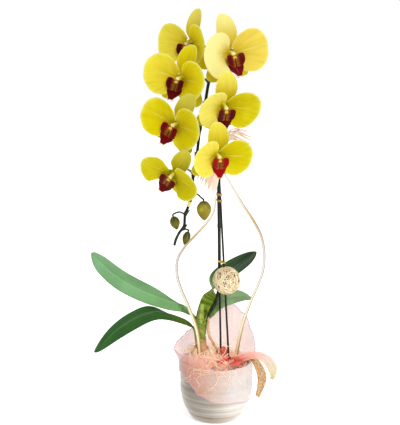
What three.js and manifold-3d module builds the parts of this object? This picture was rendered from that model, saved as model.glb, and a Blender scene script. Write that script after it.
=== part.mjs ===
// A moth orchid in a glazed pot, dressed with an organza wrap, ribbons, a rattan ball and cane strips.
// Millimetres, +Z up. The origin is the centre of the pot's flat foot. -Y is the front, which the
// blooms face, and +X is to the right.
import * as THREE from 'three';
import { mergeVertices } from 'three/addons/utils/BufferGeometryUtils.js';
import Module from 'manifold-3d';

const wasm = await Module();
wasm.setup();

// ---------------------------------------------------------------- driving dimensions

const CLEARANCE = 0.35; // between pieces that touch on the real plant

const POT_HEIGHT = 97;
const POT_RIM_RADIUS = 59;
const POT_FOOT_RADIUS = 38;
const POT_SHOULDER_HEIGHT = 60; // the wall stands nearly upright above this
const POT_WALL = 4;
const POT_FLOOR = 7;
const POT_SIDES = 28;

const MEDIUM_EDGE_HEIGHT = 83;
const MEDIUM_MOUND = 4;

const WRAP_THICKNESS = 0.8;
const WRAP_GAP = 1.2; // between the organza and the pot
const WRAP_BEND = 1.2; // it starts to lean this far above the rim

const SPIKE_BASE_RADIUS = 2.7;
const SPIKE_TIP_RADIUS = 2;
const FLOWER_STALK_RADIUS = 1.7;
const STAKE_RADIUS = 1.6;

const BLADE = 0.9; // thickness of petals and lips
const LEAF_THICKNESS = 1.8;
const STRIP_THICKNESS = 0.9;
const RIBBON_THICKNESS = 0.8;
const BALL_RADIUS = 23;

// ---------------------------------------------------------------- materials

function finish(colour, roughness, metalness = 0) {
  return new THREE.MeshStandardMaterial({ color: colour, roughness, metalness });
}

const glaze = () => finish('#dcdad4', 0.25);
const bark = () => finish('#6b4a31', 0.95);
const organza = () => finish('#edc3c1', 0.6);
const stemSkin = () => finish('#7d8438', 0.55);
const rootSkin = () => finish('#b08a63', 0.8);
const paleLeaf = () => finish('#6fae6b', 0.4);
const darkLeaf = () => finish('#2c6a3c', 0.35);
const spikeSkin = () => finish('#26331f', 0.5);
const petalSkin = () => finish('#e0d21c', 0.5);
const lipSkin = () => finish('#8f0f1e', 0.45);
const budSkin = () => finish('#8b8a3a', 0.5);
const stakeCoat = () => finish('#1c1b1c', 0.5);
const goldBand = () => finish('#b98f4a', 0.4, 0.3);
const yellowBand = () => finish('#d9b92e', 0.5);
const rattan = () => finish('#e0c99a', 0.7);
const cane = () => finish('#d8c39a', 0.5);
const redOrganza = () => finish('#f0655c', 0.5);
const glitter = () => finish('#c99c55', 0.5, 0.4);
const sisal = () => finish('#f2c9a4', 0.8);
const straw = () => finish('#ecd3b8', 0.7);

// ---------------------------------------------------------------- solids

const vector = (x, y, z) => new THREE.Vector3(x, y, z);
const radians = THREE.MathUtils.degToRad;
const { clamp, lerp, smoothstep } = THREE.MathUtils;

function geometryFrom(points, triangles) {
  const geometry = new THREE.BufferGeometry();
  geometry.setFromPoints(points);
  geometry.setIndex(triangles);
  return geometry;
}

// A closed mesh as a solid. Triangles that shrink to a line at an axis are left out.
function solidFrom(source) {
  const geometry = source.clone();
  geometry.deleteAttribute('normal');
  geometry.deleteAttribute('uv');
  const merged = mergeVertices(geometry, 1e-3);
  const index = merged.index.array;
  const kept = [];
  for (let i = 0; i < index.length; i += 3) {
    const [a, b, c] = [index[i], index[i + 1], index[i + 2]];
    if (a !== b && b !== c && c !== a) {
      kept.push(a, b, c);
    }
  }
  return new wasm.Manifold(new wasm.Mesh({
    numProp: 3,
    vertProperties: new Float32Array(merged.attributes.position.array),
    triVerts: new Uint32Array(kept),
  }));
}

function geometryOf(solid) {
  const mesh = solid.getMesh();
  const geometry = new THREE.BufferGeometry();
  geometry.setAttribute('position', new THREE.BufferAttribute(mesh.vertProperties, mesh.numProp));
  geometry.setIndex(new THREE.BufferAttribute(mesh.triVerts, 1));
  geometry.computeVertexNormals();
  return geometry;
}

function fuse(solids) {
  return solids.reduce((joined, solid) => joined.add(solid));
}

function cut(solid, tools) {
  return tools.reduce((rest, tool) => rest.subtract(tool), solid);
}

function largestBody(solid) {
  return solid.decompose().reduce((best, body) => (body.volume() > best.volume() ? body : best));
}

// A solid skinned over rings of points. Each ring runs counter-clockwise seen from the far end.
function loft(rings) {
  const sides = rings[0].length;
  const triangles = [];
  for (let i = 0; i + 1 < rings.length; i += 1) {
    for (let j = 0; j < sides; j += 1) {
      const next = (j + 1) % sides;
      const [a, b] = [i * sides + j, i * sides + next];
      const [c, d] = [(i + 1) * sides + next, (i + 1) * sides + j];
      triangles.push(a, b, c, a, c, d);
    }
  }
  const last = (rings.length - 1) * sides;
  for (let j = 1; j + 1 < sides; j += 1) {
    triangles.push(0, j + 1, j, last, last + j, last + j + 1);
  }
  return solidFrom(geometryFrom(rings.flat(), triangles));
}

// A route whose two ends are moved outwards, for the clearance round a piece.
function lengthened(points, amount) {
  const first = points[0];
  const last = points[points.length - 1];
  const start = first.clone().add(first.clone().sub(points[1]).setLength(amount));
  const end = last.clone().add(last.clone().sub(points[points.length - 2]).setLength(amount));
  return [start, ...points.slice(1, -1), end];
}

// A tube along a smooth curve, with its radius given by the share of the way along.
function tube(points, radiusAt, sides, steps) {
  const curve = new THREE.CatmullRomCurve3(points, false, 'centripetal');
  const frames = curve.computeFrenetFrames(steps, false);
  const rings = [];
  for (let i = 0; i <= steps; i += 1) {
    const centre = curve.getPointAt(i / steps);
    const radius = radiusAt(i / steps);
    const ring = [];
    for (let j = 0; j < sides; j += 1) {
      const turn = (2 * Math.PI * j) / sides;
      ring.push(centre.clone()
        .addScaledVector(frames.normals[i], radius * Math.cos(turn))
        .addScaledVector(frames.binormals[i], radius * Math.sin(turn)));
    }
    rings.push(ring);
  }
  return loft(rings);
}

// A thin closed sheet round a middle surface. u runs along it and v across it, from 0 to 1.
// Both faces are split into triangles alike.
function sheet(rows, columns, thickness, pointAt) {
  const delta = 1e-3;
  const points = [];
  for (const side of [0.5, -0.5]) {
    for (let i = 0; i <= rows; i += 1) {
      for (let j = 0; j <= columns; j += 1) {
        const u = i / rows;
        const v = j / columns;
        const along = pointAt(Math.min(1, u + delta), v).sub(pointAt(Math.max(0, u - delta), v));
        const across = pointAt(u, Math.min(1, v + delta)).sub(pointAt(u, Math.max(0, v - delta)));
        const normal = across.cross(along).normalize();
        points.push(pointAt(u, v).addScaledVector(normal, side * thickness));
      }
    }
  }
  const width = columns + 1;
  const back = (rows + 1) * width;
  const triangles = [];
  for (let i = 0; i < rows; i += 1) {
    for (let j = 0; j < columns; j += 1) {
      const [a, b] = [i * width + j, i * width + j + 1];
      const [c, d] = [b + width, a + width];
      triangles.push(a, b, c, a, c, d);
      triangles.push(back + a, back + c, back + b, back + a, back + d, back + c);
    }
  }
  const wall = (a, b) => triangles.push(a, b, back + b, a, back + b, back + a);
  for (let i = 0; i < rows; i += 1) {
    wall(i * width, (i + 1) * width);
    wall((i + 1) * width + columns, i * width + columns);
  }
  for (let j = 0; j < columns; j += 1) {
    wall(j + 1, j);
    wall(rows * width + j, rows * width + j + 1);
  }
  return solidFrom(geometryFrom(points, triangles));
}

function ballSolid(centre, radius, sides, rows) {
  const geometry = new THREE.SphereGeometry(radius, sides, rows);
  geometry.translate(centre.x, centre.y, centre.z);
  return solidFrom(geometry);
}

function latheSolid(profile, sides) {
  const geometry = new THREE.LatheGeometry(profile.map(([r, z]) => new THREE.Vector2(r, z)), sides);
  geometry.rotateX(Math.PI / 2);
  return solidFrom(geometry);
}

const plant = new THREE.Group();

function addPiece(name, solid, material, parent = plant) {
  const mesh = new THREE.Mesh(geometryOf(solid), material);
  mesh.name = name;
  parent.add(mesh);
  return mesh;
}

// ---------------------------------------------------------------- pot and growing medium

const POT_ROWS = [2, 7, 12, 17, 27, 36, 41, 52, 61, 65];
const POT_INNER_ROWS = [12, 27, 52];

// The outer wall, with shallow throwing rings where the potter's fingers rested.
function potRadius(z) {
  const rise = clamp(z / POT_SHOULDER_HEIGHT, 0, 1);
  const belly = (1 - (1 - rise) ** 2.2) ** 0.8;
  const shoulder = POT_RIM_RADIUS - 0.5;
  const ring = [15, 40, 62].reduce((sum, height) => sum + Math.exp(-(((z - height) / 3) ** 2)), 0);
  const lean = 0.5 * clamp((z - POT_SHOULDER_HEIGHT) / (POT_HEIGHT - POT_SHOULDER_HEIGHT), 0, 1);
  return lerp(POT_FOOT_RADIUS, shoulder, belly) + lean - 0.6 * ring;
}

function potSolid() {
  const outside = POT_ROWS.map((z) => [potRadius(z), z]);
  const inside = POT_INNER_ROWS.map((z) => [potRadius(z) - POT_WALL, z]).reverse();
  return latheSolid([
    [0, 0],
    [POT_FOOT_RADIUS - 1.5, 0],
    ...outside,
    [POT_RIM_RADIUS, POT_HEIGHT - 1.5],
    [POT_RIM_RADIUS - 1.3, POT_HEIGHT],
    [POT_RIM_RADIUS - POT_WALL + 1.3, POT_HEIGHT],
    [POT_RIM_RADIUS - POT_WALL, POT_HEIGHT - 1.5],
    ...inside,
    [potRadius(POT_FLOOR) - POT_WALL - 3, POT_FLOOR],
    [0, POT_FLOOR],
  ], POT_SIDES);
}

// Bark that fills the pot to a low mound. Its outside follows the pot's inner wall.
function mediumSolid(holes) {
  const rings = [[potRadius(POT_FLOOR) - POT_WALL - 3.5, POT_FLOOR + CLEARANCE]];
  for (const z of [...POT_INNER_ROWS, MEDIUM_EDGE_HEIGHT]) {
    rings.push([potRadius(z) - POT_WALL - 1.5 * CLEARANCE, z]);
  }
  const top = [0.8, 0.45].map((share) => [
    share * POT_RIM_RADIUS * 0.93,
    MEDIUM_EDGE_HEIGHT + MEDIUM_MOUND * (1 - share ** 2),
  ]);
  const chips = (r, turn) => 0.9 * Math.sin(5 * turn + r) + 0.6 * Math.sin(11 * turn);
  const body = [...rings, ...top].map(([r, z], row) => {
    const ring = [];
    for (let j = 0; j < POT_SIDES; j += 1) {
      const turn = (2 * Math.PI * j) / POT_SIDES;
      const lift = row >= rings.length ? chips(r, turn) : 0;
      ring.push(vector(r * Math.sin(turn), -r * Math.cos(turn), z + lift));
    }
    return ring;
  });
  return cut(loft(body), holes);
}

// ---------------------------------------------------------------- stem and roots

const STEM_PATH = [
  vector(-20, -2, 62), vector(-22, -3, 95), vector(-25, -4, 130), vector(-26, -3, 155),
  vector(-25, -1, 174), vector(-22, 2, 190),
];

// The short stem, wrapped in old leaf sheaths that swell and narrow at each joint.
function stemSolid(grow = 0) {
  const sheath = (t) => 0.5 * Math.cos(t * 14 * Math.PI);
  const belly = (t) => 2.6 * Math.sin(Math.PI * clamp(t * 1.1, 0, 1));
  const radiusAt = (t) => 6.5 + belly(t) - 3.5 * t ** 6 + sheath(t) + grow;
  return tube(lengthened(STEM_PATH, grow), radiusAt, 9, 11);
}

const ROOT_PATHS = [
  [
    vector(-12, -1, 168), vector(-13, -9, 150), vector(-8, -13, 134),
    vector(3, -16, 118), vector(11, -20, 100), vector(13, -22, 74),
  ],
  [vector(-29, -8, 126), vector(-36, -14, 118), vector(-41, -17, 102), vector(-42, -18, 76)],
  [vector(-20, 5, 122), vector(-14, 13, 112), vector(-10, 18, 98), vector(-9, 20, 74)],
];

function rootSolid(path, grow = 0) {
  return tube(lengthened(path, grow), (t) => 2.3 - 0.3 * t + grow, 5, 8);
}

// ---------------------------------------------------------------- leaves

// Width along a strap leaf, as a share of the widest place: a narrow neck and a blunt, round tip.
function strapOutline(u, neck) {
  const shoulder = 0.62;
  const swell = lerp(neck, 1, smoothstep(u, 0, 0.5));
  const tip = u > shoulder ? (1 - ((u - shoulder) / (1 - shoulder)) ** 2.3) ** 0.62 : 1;
  return Math.max(0.05, swell * tip);
}

// A strap leaf: a spine curve, the direction across it at the base and at the tip, and a keel fold
// that opens out towards the tip.
function leafSolid({ spine, halfWidth, neck, baseAcross, tipAcross, baseFold, tipFold, foldFrom = 0 }) {
  const curve = new THREE.CatmullRomCurve3(spine, false, 'centripetal');
  const pointAt = (u, v) => {
    const centre = curve.getPoint(u);
    const tangent = curve.getTangent(u);
    const across = baseAcross.clone().lerp(tipAcross, smoothstep(u, 0.1, 0.6));
    across.addScaledVector(tangent, -across.dot(tangent)).normalize();
    const up = across.clone().cross(tangent);
    const fold = radians(lerp(baseFold, tipFold, smoothstep(u, foldFrom, 0.45)));
    const reach = (2 * v - 1) * halfWidth * strapOutline(u, neck);
    return centre
      .addScaledVector(across, reach * Math.cos(fold))
      .addScaledVector(up, Math.abs(reach) * Math.sin(fold));
  };
  return sheet(11, 4, LEAF_THICKNESS, pointAt);
}

const LEAVES = [
  {
    name: 'leaf_upper_left',
    skin: paleLeaf,
    spine: [
      vector(-28, -4, 170), vector(-52, -9, 189), vector(-78, -15, 199), vector(-112, -23, 215),
      vector(-150, -32, 238), vector(-180, -39, 265), vector(-196, -42, 284),
    ],
    halfWidth: 20,
    neck: 0.4,
    baseAcross: vector(0.1, -1, -0.35),
    tipAcross: vector(-0.25, -0.9, -0.6),
    baseFold: 42,
    tipFold: 7,
  },
  {
    name: 'leaf_lower_left',
    skin: darkLeaf,
    spine: [
      vector(-30, -7, 152.5), vector(-52, -18, 169), vector(-80, -32, 183), vector(-104, -42, 188),
      vector(-132, -51, 178), vector(-160, -60, 160), vector(-190, -68, 131),
    ],
    halfWidth: 17.5,
    neck: 0.36,
    baseAcross: vector(0.2, -1, -0.1),
    tipAcross: vector(0.4, -0.8, -0.5),
    baseFold: 40,
    tipFold: 9,
  },
  {
    name: 'leaf_upper_right',
    skin: darkLeaf,
    spine: [
      vector(-23.5, 5, 173), vector(-17, 18, 195), vector(-4, 27, 212), vector(11, 36, 227),
      vector(31, 46, 239), vector(51, 58, 250), vector(68, 70, 262),
    ],
    halfWidth: 18,
    neck: 0.85,
    baseAcross: vector(-0.9, -0.45, 0),
    tipAcross: vector(0.62, -0.75, -0.45),
    baseFold: -45,
    tipFold: 22,
    foldFrom: 0.2,
  },
  {
    name: 'leaf_lower_right',
    skin: paleLeaf,
    spine: [
      vector(-13, 12, 157), vector(-8.5, 15, 171), vector(4, 20, 181), vector(20.5, 29.5, 187),
      vector(42, 45, 190), vector(63, 57, 184),
    ],
    halfWidth: 14,
    neck: 0.75,
    baseAcross: vector(0.75, -0.5, -0.45),
    tipAcross: vector(0.35, -0.8, -0.5),
    baseFold: 36,
    tipFold: 18,
  },
];

// ---------------------------------------------------------------- spike, stakes and ties

// The spike climbs behind the stakes, arches over the top and hangs forward to its tip.
const SPIKE_PATH = [
  vector(-21, 0, 160), vector(-13, 4, 172), vector(-4, 8, 184), vector(3, 10, 204), vector(5, 11, 232),
  vector(5, 8.5, 300), vector(4, 6, 366), vector(5, 5, 430), vector(6, 2, 500), vector(7, -1, 548),
  vector(7.5, -7, 583), vector(5.5, -19, 600), vector(0.5, -31, 594), vector(-7, -43, 572),
  vector(-14, -55, 544), vector(-19, -68, 514), vector(-26, -80, 482), vector(-31, -93, 442),
  vector(-36, -100, 416),
  vector(-37, -105, 387), vector(-42, -107, 373), vector(-48, -109, 357), vector(-50, -110, 339),
  vector(-56, -111, 332), vector(-62, -112, 320), vector(-64, -112, 312),
];

const spikeCurve = new THREE.CatmullRomCurve3(SPIKE_PATH, false, 'centripetal');

function spikeTube(grow = 0) {
  const radiusAt = (t) => lerp(SPIKE_BASE_RADIUS, SPIKE_TIP_RADIUS, t ** 1.5) + grow;
  return tube(lengthened(SPIKE_PATH, grow), radiusAt, 5, 46);
}

// The share of the spike's length at which it stands highest.
function spikeTopShare() {
  const shares = Array.from({ length: 101 }, (_, i) => i / 100);
  const heightAt = (share) => spikeCurve.getPointAt(share).z;
  return shares.reduce((best, share) => (heightAt(share) > heightAt(best) ? share : best));
}

// The place on the hanging part of the spike that lies at a given height.
function spikeAt(height) {
  let [low, high] = [spikeTopShare(), 1];
  for (let i = 0; i < 20; i += 1) {
    const middle = (low + high) / 2;
    if (spikeCurve.getPointAt(middle).z > height) {
      low = middle;
    } else {
      high = middle;
    }
  }
  return spikeCurve.getPointAt(low);
}

const STAKES = [
  { name: 'stake_right', foot: vector(23, -16, 60), tip: vector(4.2, -6, 404) },
  { name: 'stake_left', foot: vector(9, 0, 60), tip: vector(2.2, -0.5, 392) },
];

function stakeSolid({ foot, tip }, grow = 0) {
  return tube(lengthened([foot, tip], grow), () => STAKE_RADIUS + grow, 8, 1);
}

const TIE_GAP = 0.45; // leaves the clearance where the slanting stakes pass through a tie's height
const TIE_THICKNESS = 0.8;
const TIE_SIDES = 14;

// A band drawn tight round the rods that pass through a level: their outline, offset outwards.
function bandSolid(rods, height, width) {
  const outline = (offset) => {
    const points = [];
    for (let j = 0; j < TIE_SIDES; j += 1) {
      const turn = (2 * Math.PI * j) / TIE_SIDES;
      const direction = new THREE.Vector2(Math.cos(turn), Math.sin(turn));
      const reach = rods.map((rod) => rod.centre.dot(direction) + rod.radius);
      const outer = rods[reach.indexOf(Math.max(...reach))];
      points.push(outer.centre.clone().addScaledVector(direction, outer.radius + offset));
    }
    return points;
  };
  const shape = new THREE.Shape(outline(TIE_GAP + TIE_THICKNESS));
  shape.holes.push(new THREE.Path(outline(TIE_GAP)));
  const geometry = new THREE.ExtrudeGeometry(shape, { depth: width, bevelEnabled: false });
  geometry.translate(0, 0, height - width / 2);
  return solidFrom(geometry);
}

function rodAt(start, end, height, radius) {
  const centre = start.clone().lerp(end, (height - start.z) / (end.z - start.z));
  return { centre: new THREE.Vector2(centre.x, centre.y), radius };
}

const UPRIGHT_SPIKE = [vector(5, 8.5, 300), vector(4, 6, 366)]; // the stretch beside the ties

const TIES = [
  { name: 'tie_top', height: 371, width: 5, rods: 3, skin: goldBand },
  { name: 'tie_upper', height: 361, width: 4.5, rods: 3, skin: goldBand },
  { name: 'tie_middle', height: 262, width: 4, rods: 2, skin: yellowBand },
];

function tieSolid({ height, width, rods }) {
  const stakes = STAKES.map(({ foot, tip }) => rodAt(foot, tip, height, STAKE_RADIUS));
  const spike = rodAt(UPRIGHT_SPIKE[0], UPRIGHT_SPIKE[1], height, SPIKE_BASE_RADIUS - 0.1);
  return bandSolid([...stakes, spike].slice(0, rods), height, width);
}

// ---------------------------------------------------------------- blooms

const LEVEL_PETALS = [{ angle: -90, breadth: 1, length: 1 }, { angle: 90, breadth: 1, length: 1 }];

// place: the middle of the bloom. turn: degrees of yaw, pitch and roll from facing straight forward.
// node: the height on the spike that its stalk grows from.
const BLOOMS = [
  {
    name: 'left_1',
    place: vector(-38, -56, 606),
    turn: [-47, -5, 4],
    size: 1.02,
    node: 590,
    petals: [{ angle: -94, breadth: 0.95, length: 0.97 }, { angle: 92, breadth: 1, length: 1 }],
  },
  {
    name: 'right_1',
    place: vector(16, -68, 592),
    turn: [34, -4, -9],
    size: 1.09,
    node: 572,
    topSepal: 34,
    petals: [{ angle: -91, breadth: 1, length: 1.08 }, { angle: 90, breadth: 1, length: 1 }],
  },
  { name: 'left_2', place: vector(-52, -100, 556.5), turn: [-32, -6, 12], size: 1.02, node: 548 },
  { name: 'right_2', place: vector(7, -112, 519), turn: [30, 18, 2], size: 0.98, node: 514, topSepal: 38 },
  {
    name: 'left_3',
    place: vector(-59, -136, 493),
    turn: [-32, -3, 26],
    size: 0.97,
    node: 482,
    petals: [{ angle: -90, breadth: 1, length: 1 }, { angle: 76, breadth: 1, length: 1.06 }],
  },
  { name: 'right_3', place: vector(-3, -138, 450), turn: [31, 10, 1], size: 0.93, node: 442, topSepal: 39 },
  {
    name: 'left_4',
    place: vector(-63.5, -156, 425.5),
    turn: [-29, 22, 40],
    size: 0.87,
    node: 415,
    petals: [{ angle: -92, breadth: 0.66, length: 1 }, { angle: 54, breadth: 1, length: 1 }],
  },
];

const HUB_RADIUS = 4.6;
const PETAL_LENGTH = 52;
const TOP_SEPAL_WIDTH = 31;
const LOWER_SEPALS = [
  { angle: 131, length: 46, width: 29 },
  { angle: -131, length: 46, width: 29 },
];

// Directions in the plane of a bloom that faces -Y: outwards at an angle from up, and across that.
function tepalAxes(angle) {
  const turn = radians(angle);
  return {
    out: vector(Math.sin(turn), 0, Math.cos(turn)),
    across: vector(Math.cos(turn), 0, -Math.sin(turn)),
  };
}

// A sepal: an oval blade with a narrow claw, curving back a little towards its tip.
function sepalSolid({ angle, length, width }, size) {
  const { out, across } = tepalAxes(angle);
  const pointAt = (u, v) => {
    const t = Math.sin(u * Math.PI * 0.47) ** 1.1;
    const oval = Math.sqrt(Math.max(0.004, 1 - ((t - 0.52) / 0.49) ** 2));
    const waist = lerp(oval, Math.min(oval, 0.2 + 2.2 * t), 1 - smoothstep(t, 0.1, 0.4));
    const half = (width / 2) * Math.max(waist, 0.4 * (1 - smoothstep(t, 0, 0.3)));
    const side = (2 * v - 1) * half;
    const forward = 3 * t - 9 * t * t + 0.012 * side * side - 2;
    return vector(0, -forward * size, 0)
      .addScaledVector(out, (2 + (length - 2) * t) * size)
      .addScaledVector(across, side * size);
  };
  return sheet(4, 2, BLADE, pointAt);
}

// A petal: a broad round fan from a narrow claw. It leans forward and rolls back at its edge.
function petalSolid({ angle, breadth, length }, size) {
  const { out, across } = tepalAxes(angle);
  const hand = Math.sign(angle);
  const pointAt = (u, v) => {
    const t = lerp(0.03, 1, u ** 0.9);
    const opening = lerp(0.3, 1, smoothstep(t, 0, 0.42));
    const fan = hand * breadth * radians(lerp(-80, 74, v)) * opening;
    const reach = PETAL_LENGTH * length * Math.cos(fan) ** 0.72;
    const far = (reach * t) / PETAL_LENGTH;
    const side = reach * t * Math.sin(fan);
    const cup = 2 * (1 - Math.cos(fan)) * far;
    const forward = 33 * far - 11 * far * far + cup + 0.6 - 0.08 * hand * side * t;
    return vector(0, -forward * size, 0)
      .addScaledVector(out, (reach * t * Math.cos(fan) + 0.5) * size)
      .addScaledVector(across, side * size);
  };
  return sheet(3, 7, BLADE, pointAt);
}

function columnPath(size) {
  return [vector(0, 0, 0), vector(0, -6 * size, 1 * size), vector(0, -11 * size, -1.5 * size)];
}

function bloomSolid({ size, petals = LEVEL_PETALS, topSepal = TOP_SEPAL_WIDTH }) {
  const sepals = [{ angle: 0, length: 50, width: topSepal }, ...LOWER_SEPALS];
  return fuse([
    ballSolid(vector(0, 0, 0), HUB_RADIUS * size, 6, 4),
    tube(columnPath(size), (t) => (2.6 + 0.8 * t * t) * size, 5, 2),
    ...sepals.map((sepal) => sepalSolid(sepal, size)),
    ...petals.map((petal) => petalSolid(petal, size)),
  ]);
}

// The lip: an arrow-shaped middle lobe and two raised side lobes on a short neck under the column.
function lipSolid(size) {
  const at = (x, y, z) => vector(x * size, y * size, z * size);
  const middleLobe = sheet(4, 2, BLADE, (u, v) => {
    const half = lerp(5, 12.5, smoothstep(u, 0, 0.3)) * lerp(1, 0.34, smoothstep(u, 0.4, 1) ** 1.3);
    const side = 2 * v - 1; // its edges stand forward of its middle line
    return at(side * half, -9.5 - 9 * u - 1.5 * Math.abs(side) * (1 - u), -8.5 - 22.5 * u);
  });
  const sideLobe = (hand) => sheet(3, 2, BLADE, (u, v) => {
    const half = 8 * Math.sin(Math.PI * (0.3 + 0.62 * u)) + 0.5;
    const rise = (2 * v - 1) * half;
    const out = 1 + 13.5 * Math.sin(1.5 * u);
    return at(hand * out, -13.1 - 4.5 * u + 1.5 * u * u + 0.1 * rise, -11.4 + 5 * u + rise);
  });
  const neckPath = [at(0, -2.75, -4.2), at(0, -6.5, -7.6), at(0, -11.5, -9.4)];
  const neck = tube(neckPath, (t) => (1.9 + 1.1 * t) * size, 5, 2);
  return fuse([neck, middleLobe, sideLobe(1), sideLobe(-1)]);
}

// The frame that a bloom stands in: its place and its three turns.
function bloomGroup({ place, turn }) {
  const [yaw, pitch, roll] = turn.map(radians);
  const group = new THREE.Group();
  group.position.copy(place);
  group.rotation.set(pitch, roll, yaw, 'ZXY');
  group.updateMatrixWorld();
  return group;
}

const STALK_STRAIGHT = 14; // the length of stalk that points straight at the bloom

// A flower stalk leaves the spike at its node and meets the bloom from behind.
function flowerStalk(bloom) {
  const group = bloomGroup(bloom);
  const start = spikeAt(bloom.node);
  const seat = HUB_RADIUS * bloom.size + CLEARANCE;
  const end = group.localToWorld(vector(0, seat, 0));
  const behind = group.localToWorld(vector(0, seat + STALK_STRAIGHT, 0));
  const out = end.clone().sub(start).setZ(0).normalize();
  const shoulder = start.clone().addScaledVector(out, 10).add(vector(0, 0, 7));
  return tube([start, shoulder, behind, end], (t) => FLOWER_STALK_RADIUS + 0.5 * t ** 4, 4, 5);
}

// A node on the spike: a short collar that flares upwards under its bract.
function nodeCollar(height) {
  const centre = spikeAt(height);
  const above = spikeAt(height + 5);
  return tube([centre.clone().add(centre.clone().sub(above)), above], (t) => 2.2 + 1.7 * t, 5, 1);
}

// ---------------------------------------------------------------- buds

const BUDS = [
  {
    name: 'bud_right',
    stalk: [
      vector(-37, -105, 386), vector(-31, -107, 388.5), vector(-24, -108.5, 383), vector(-20.8, -109, 378),
    ],
    tip: vector(-19.5, -110, 349),
    radius: 10.5,
  },
  {
    name: 'bud_left',
    stalk: [
      vector(-48, -109, 358), vector(-56, -111, 362), vector(-64, -113, 360), vector(-65.5, -113, 355.5),
    ],
    tip: vector(-60, -113, 336),
    radius: 6.8,
  },
  {
    name: 'bud_tip',
    stalk: [vector(-50, -110, 337), vector(-46, -111.5, 336), vector(-43.6, -112, 332.5)],
    tip: vector(-49.5, -112.5, 313),
    radius: 5.4,
  },
];

// A plump bud from the end of its stalk to its pointed tip.
function budSolid({ stalk, tip, radius }) {
  const top = stalk[stalk.length - 1];
  const start = top.clone().add(tip.clone().sub(top).setLength(CLEARANCE));
  const swell = (t) => Math.sin(Math.PI * (0.06 + 0.94 * t) ** 0.85) ** 0.8;
  return tube([start, tip], (t) => 0.8 + radius * swell(t), 8, 6);
}

// The stalk turns into line with the bud just before it meets it.
function budStalk({ stalk, tip }) {
  const top = stalk[stalk.length - 1];
  const bend = top.clone().sub(tip.clone().sub(top).setLength(2.5));
  return tube([...stalk.slice(0, -1), bend, top], () => 1.2, 4, 5);
}

const COLLAR_HEIGHTS = [514, 482, 442, 415, 387, 359, 338];

// The spike with the stalks of its flowers and buds, all one growth.
function spikeSolid() {
  return fuse([
    spikeTube(),
    ...BLOOMS.map(flowerStalk),
    ...COLLAR_HEIGHTS.map(nodeCollar),
    ...BUDS.map(budStalk),
  ]);
}

// ---------------------------------------------------------------- wrap

// The top and bottom edges of the organza, as height and outward lean at angles round the pot. A
// lean below nought turns inwards over the rim.
const WRAP_EDGES = [
  { angle: -90, top: 97.5, lean: 0.8, bottom: 43 },
  { angle: -62, top: 98, lean: 0.8, bottom: 40 },
  { angle: -32, top: 100, lean: 1.5, bottom: 36 },
  { angle: 0, top: 111, lean: 3.5, bottom: 35 },
  { angle: 24, top: 134, lean: 6, bottom: 38 },
  { angle: 46, top: 160, lean: 9, bottom: 42 },
  { angle: 66, top: 174, lean: 8, bottom: 46 },
  { angle: 88, top: 167, lean: 3, bottom: 50 },
  { angle: 112, top: 146, lean: 1, bottom: 56 },
  { angle: 134, top: 133, lean: 2, bottom: 62 },
  { angle: 158, top: 121, lean: 6, bottom: 70 },
  { angle: 180, top: 116, lean: 8.5, bottom: 78 },
  { angle: 202, top: 112, lean: 1, bottom: 84 },
  { angle: 222, top: 117, lean: -6, bottom: 72 },
  { angle: 244, top: 112, lean: -9, bottom: 54 },
];

function wrapEdge(key) {
  const points = WRAP_EDGES.map((edge) => vector(edge.angle, edge[key], 0));
  const first = points[0];
  const last = points[points.length - 1];
  points.unshift(vector(last.x - 360, last.y, 0));
  points.push(vector(first.x + 360, first.y, 0));
  return (angle) => {
    const next = points.findIndex((point) => point.x > angle);
    const [a, b] = [points[next - 1], points[next]];
    return lerp(a.y, b.y, smoothstep(angle, a.x, b.x));
  };
}

// The organza as a thin closed band round the pot. Above the rim it leans outwards as it rises,
// and at the front left it leans inwards as a flap.
function wrapSolid() {
  const [top, bottom, lean] = ['top', 'bottom', 'lean'].map(wrapEdge);
  const rows = [0, 0.16, 0.33, 0.5, 0.75, 1]; // the rim of the pot lies at a half
  const positionAt = (turn, share, offset) => {
    const angle = -90 + turn * 360;
    const rim = Math.min(top(angle), POT_HEIGHT + WRAP_BEND);
    const high = top(angle);
    const z = share < 0.5 ? lerp(bottom(angle), rim, share * 2) : lerp(rim, high, share * 2 - 1);
    const above = clamp((z - rim) / Math.max(1, high - rim), 0, 1);
    const radius = potRadius(Math.min(z, POT_HEIGHT)) + WRAP_GAP + offset + lean(angle) * above;
    return vector(radius * Math.cos(radians(angle)), radius * Math.sin(radians(angle)), z);
  };
  const points = [];
  for (let j = 0; j < POT_SIDES; j += 1) {
    const turn = j / POT_SIDES;
    rows.forEach((share) => points.push(positionAt(turn, share, WRAP_THICKNESS)));
    [...rows].reverse().forEach((share) => points.push(positionAt(turn, share, 0)));
  }
  const count = rows.length * 2;
  const triangles = [];
  for (let j = 0; j < POT_SIDES; j += 1) {
    const next = (j + 1) % POT_SIDES;
    for (let k = 0; k < count; k += 1) {
      const after = (k + 1) % count;
      const [a, b] = [j * count + k, next * count + k];
      const [c, d] = [next * count + after, j * count + after];
      const inner = k >= rows.length;
      triangles.push(...(inner ? [a, b, d, b, c, d] : [a, b, c, a, c, d]));
    }
  }
  return solidFrom(geometryFrom(points, triangles));
}

// ---------------------------------------------------------------- rattan ball

const BALL_CENTRE = vector(16.6, -13.5, 233);
const BALL_SHELL = 1.9;
const BALL_OPENNESS = 0.62; // the share of each face that stays open

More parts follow.
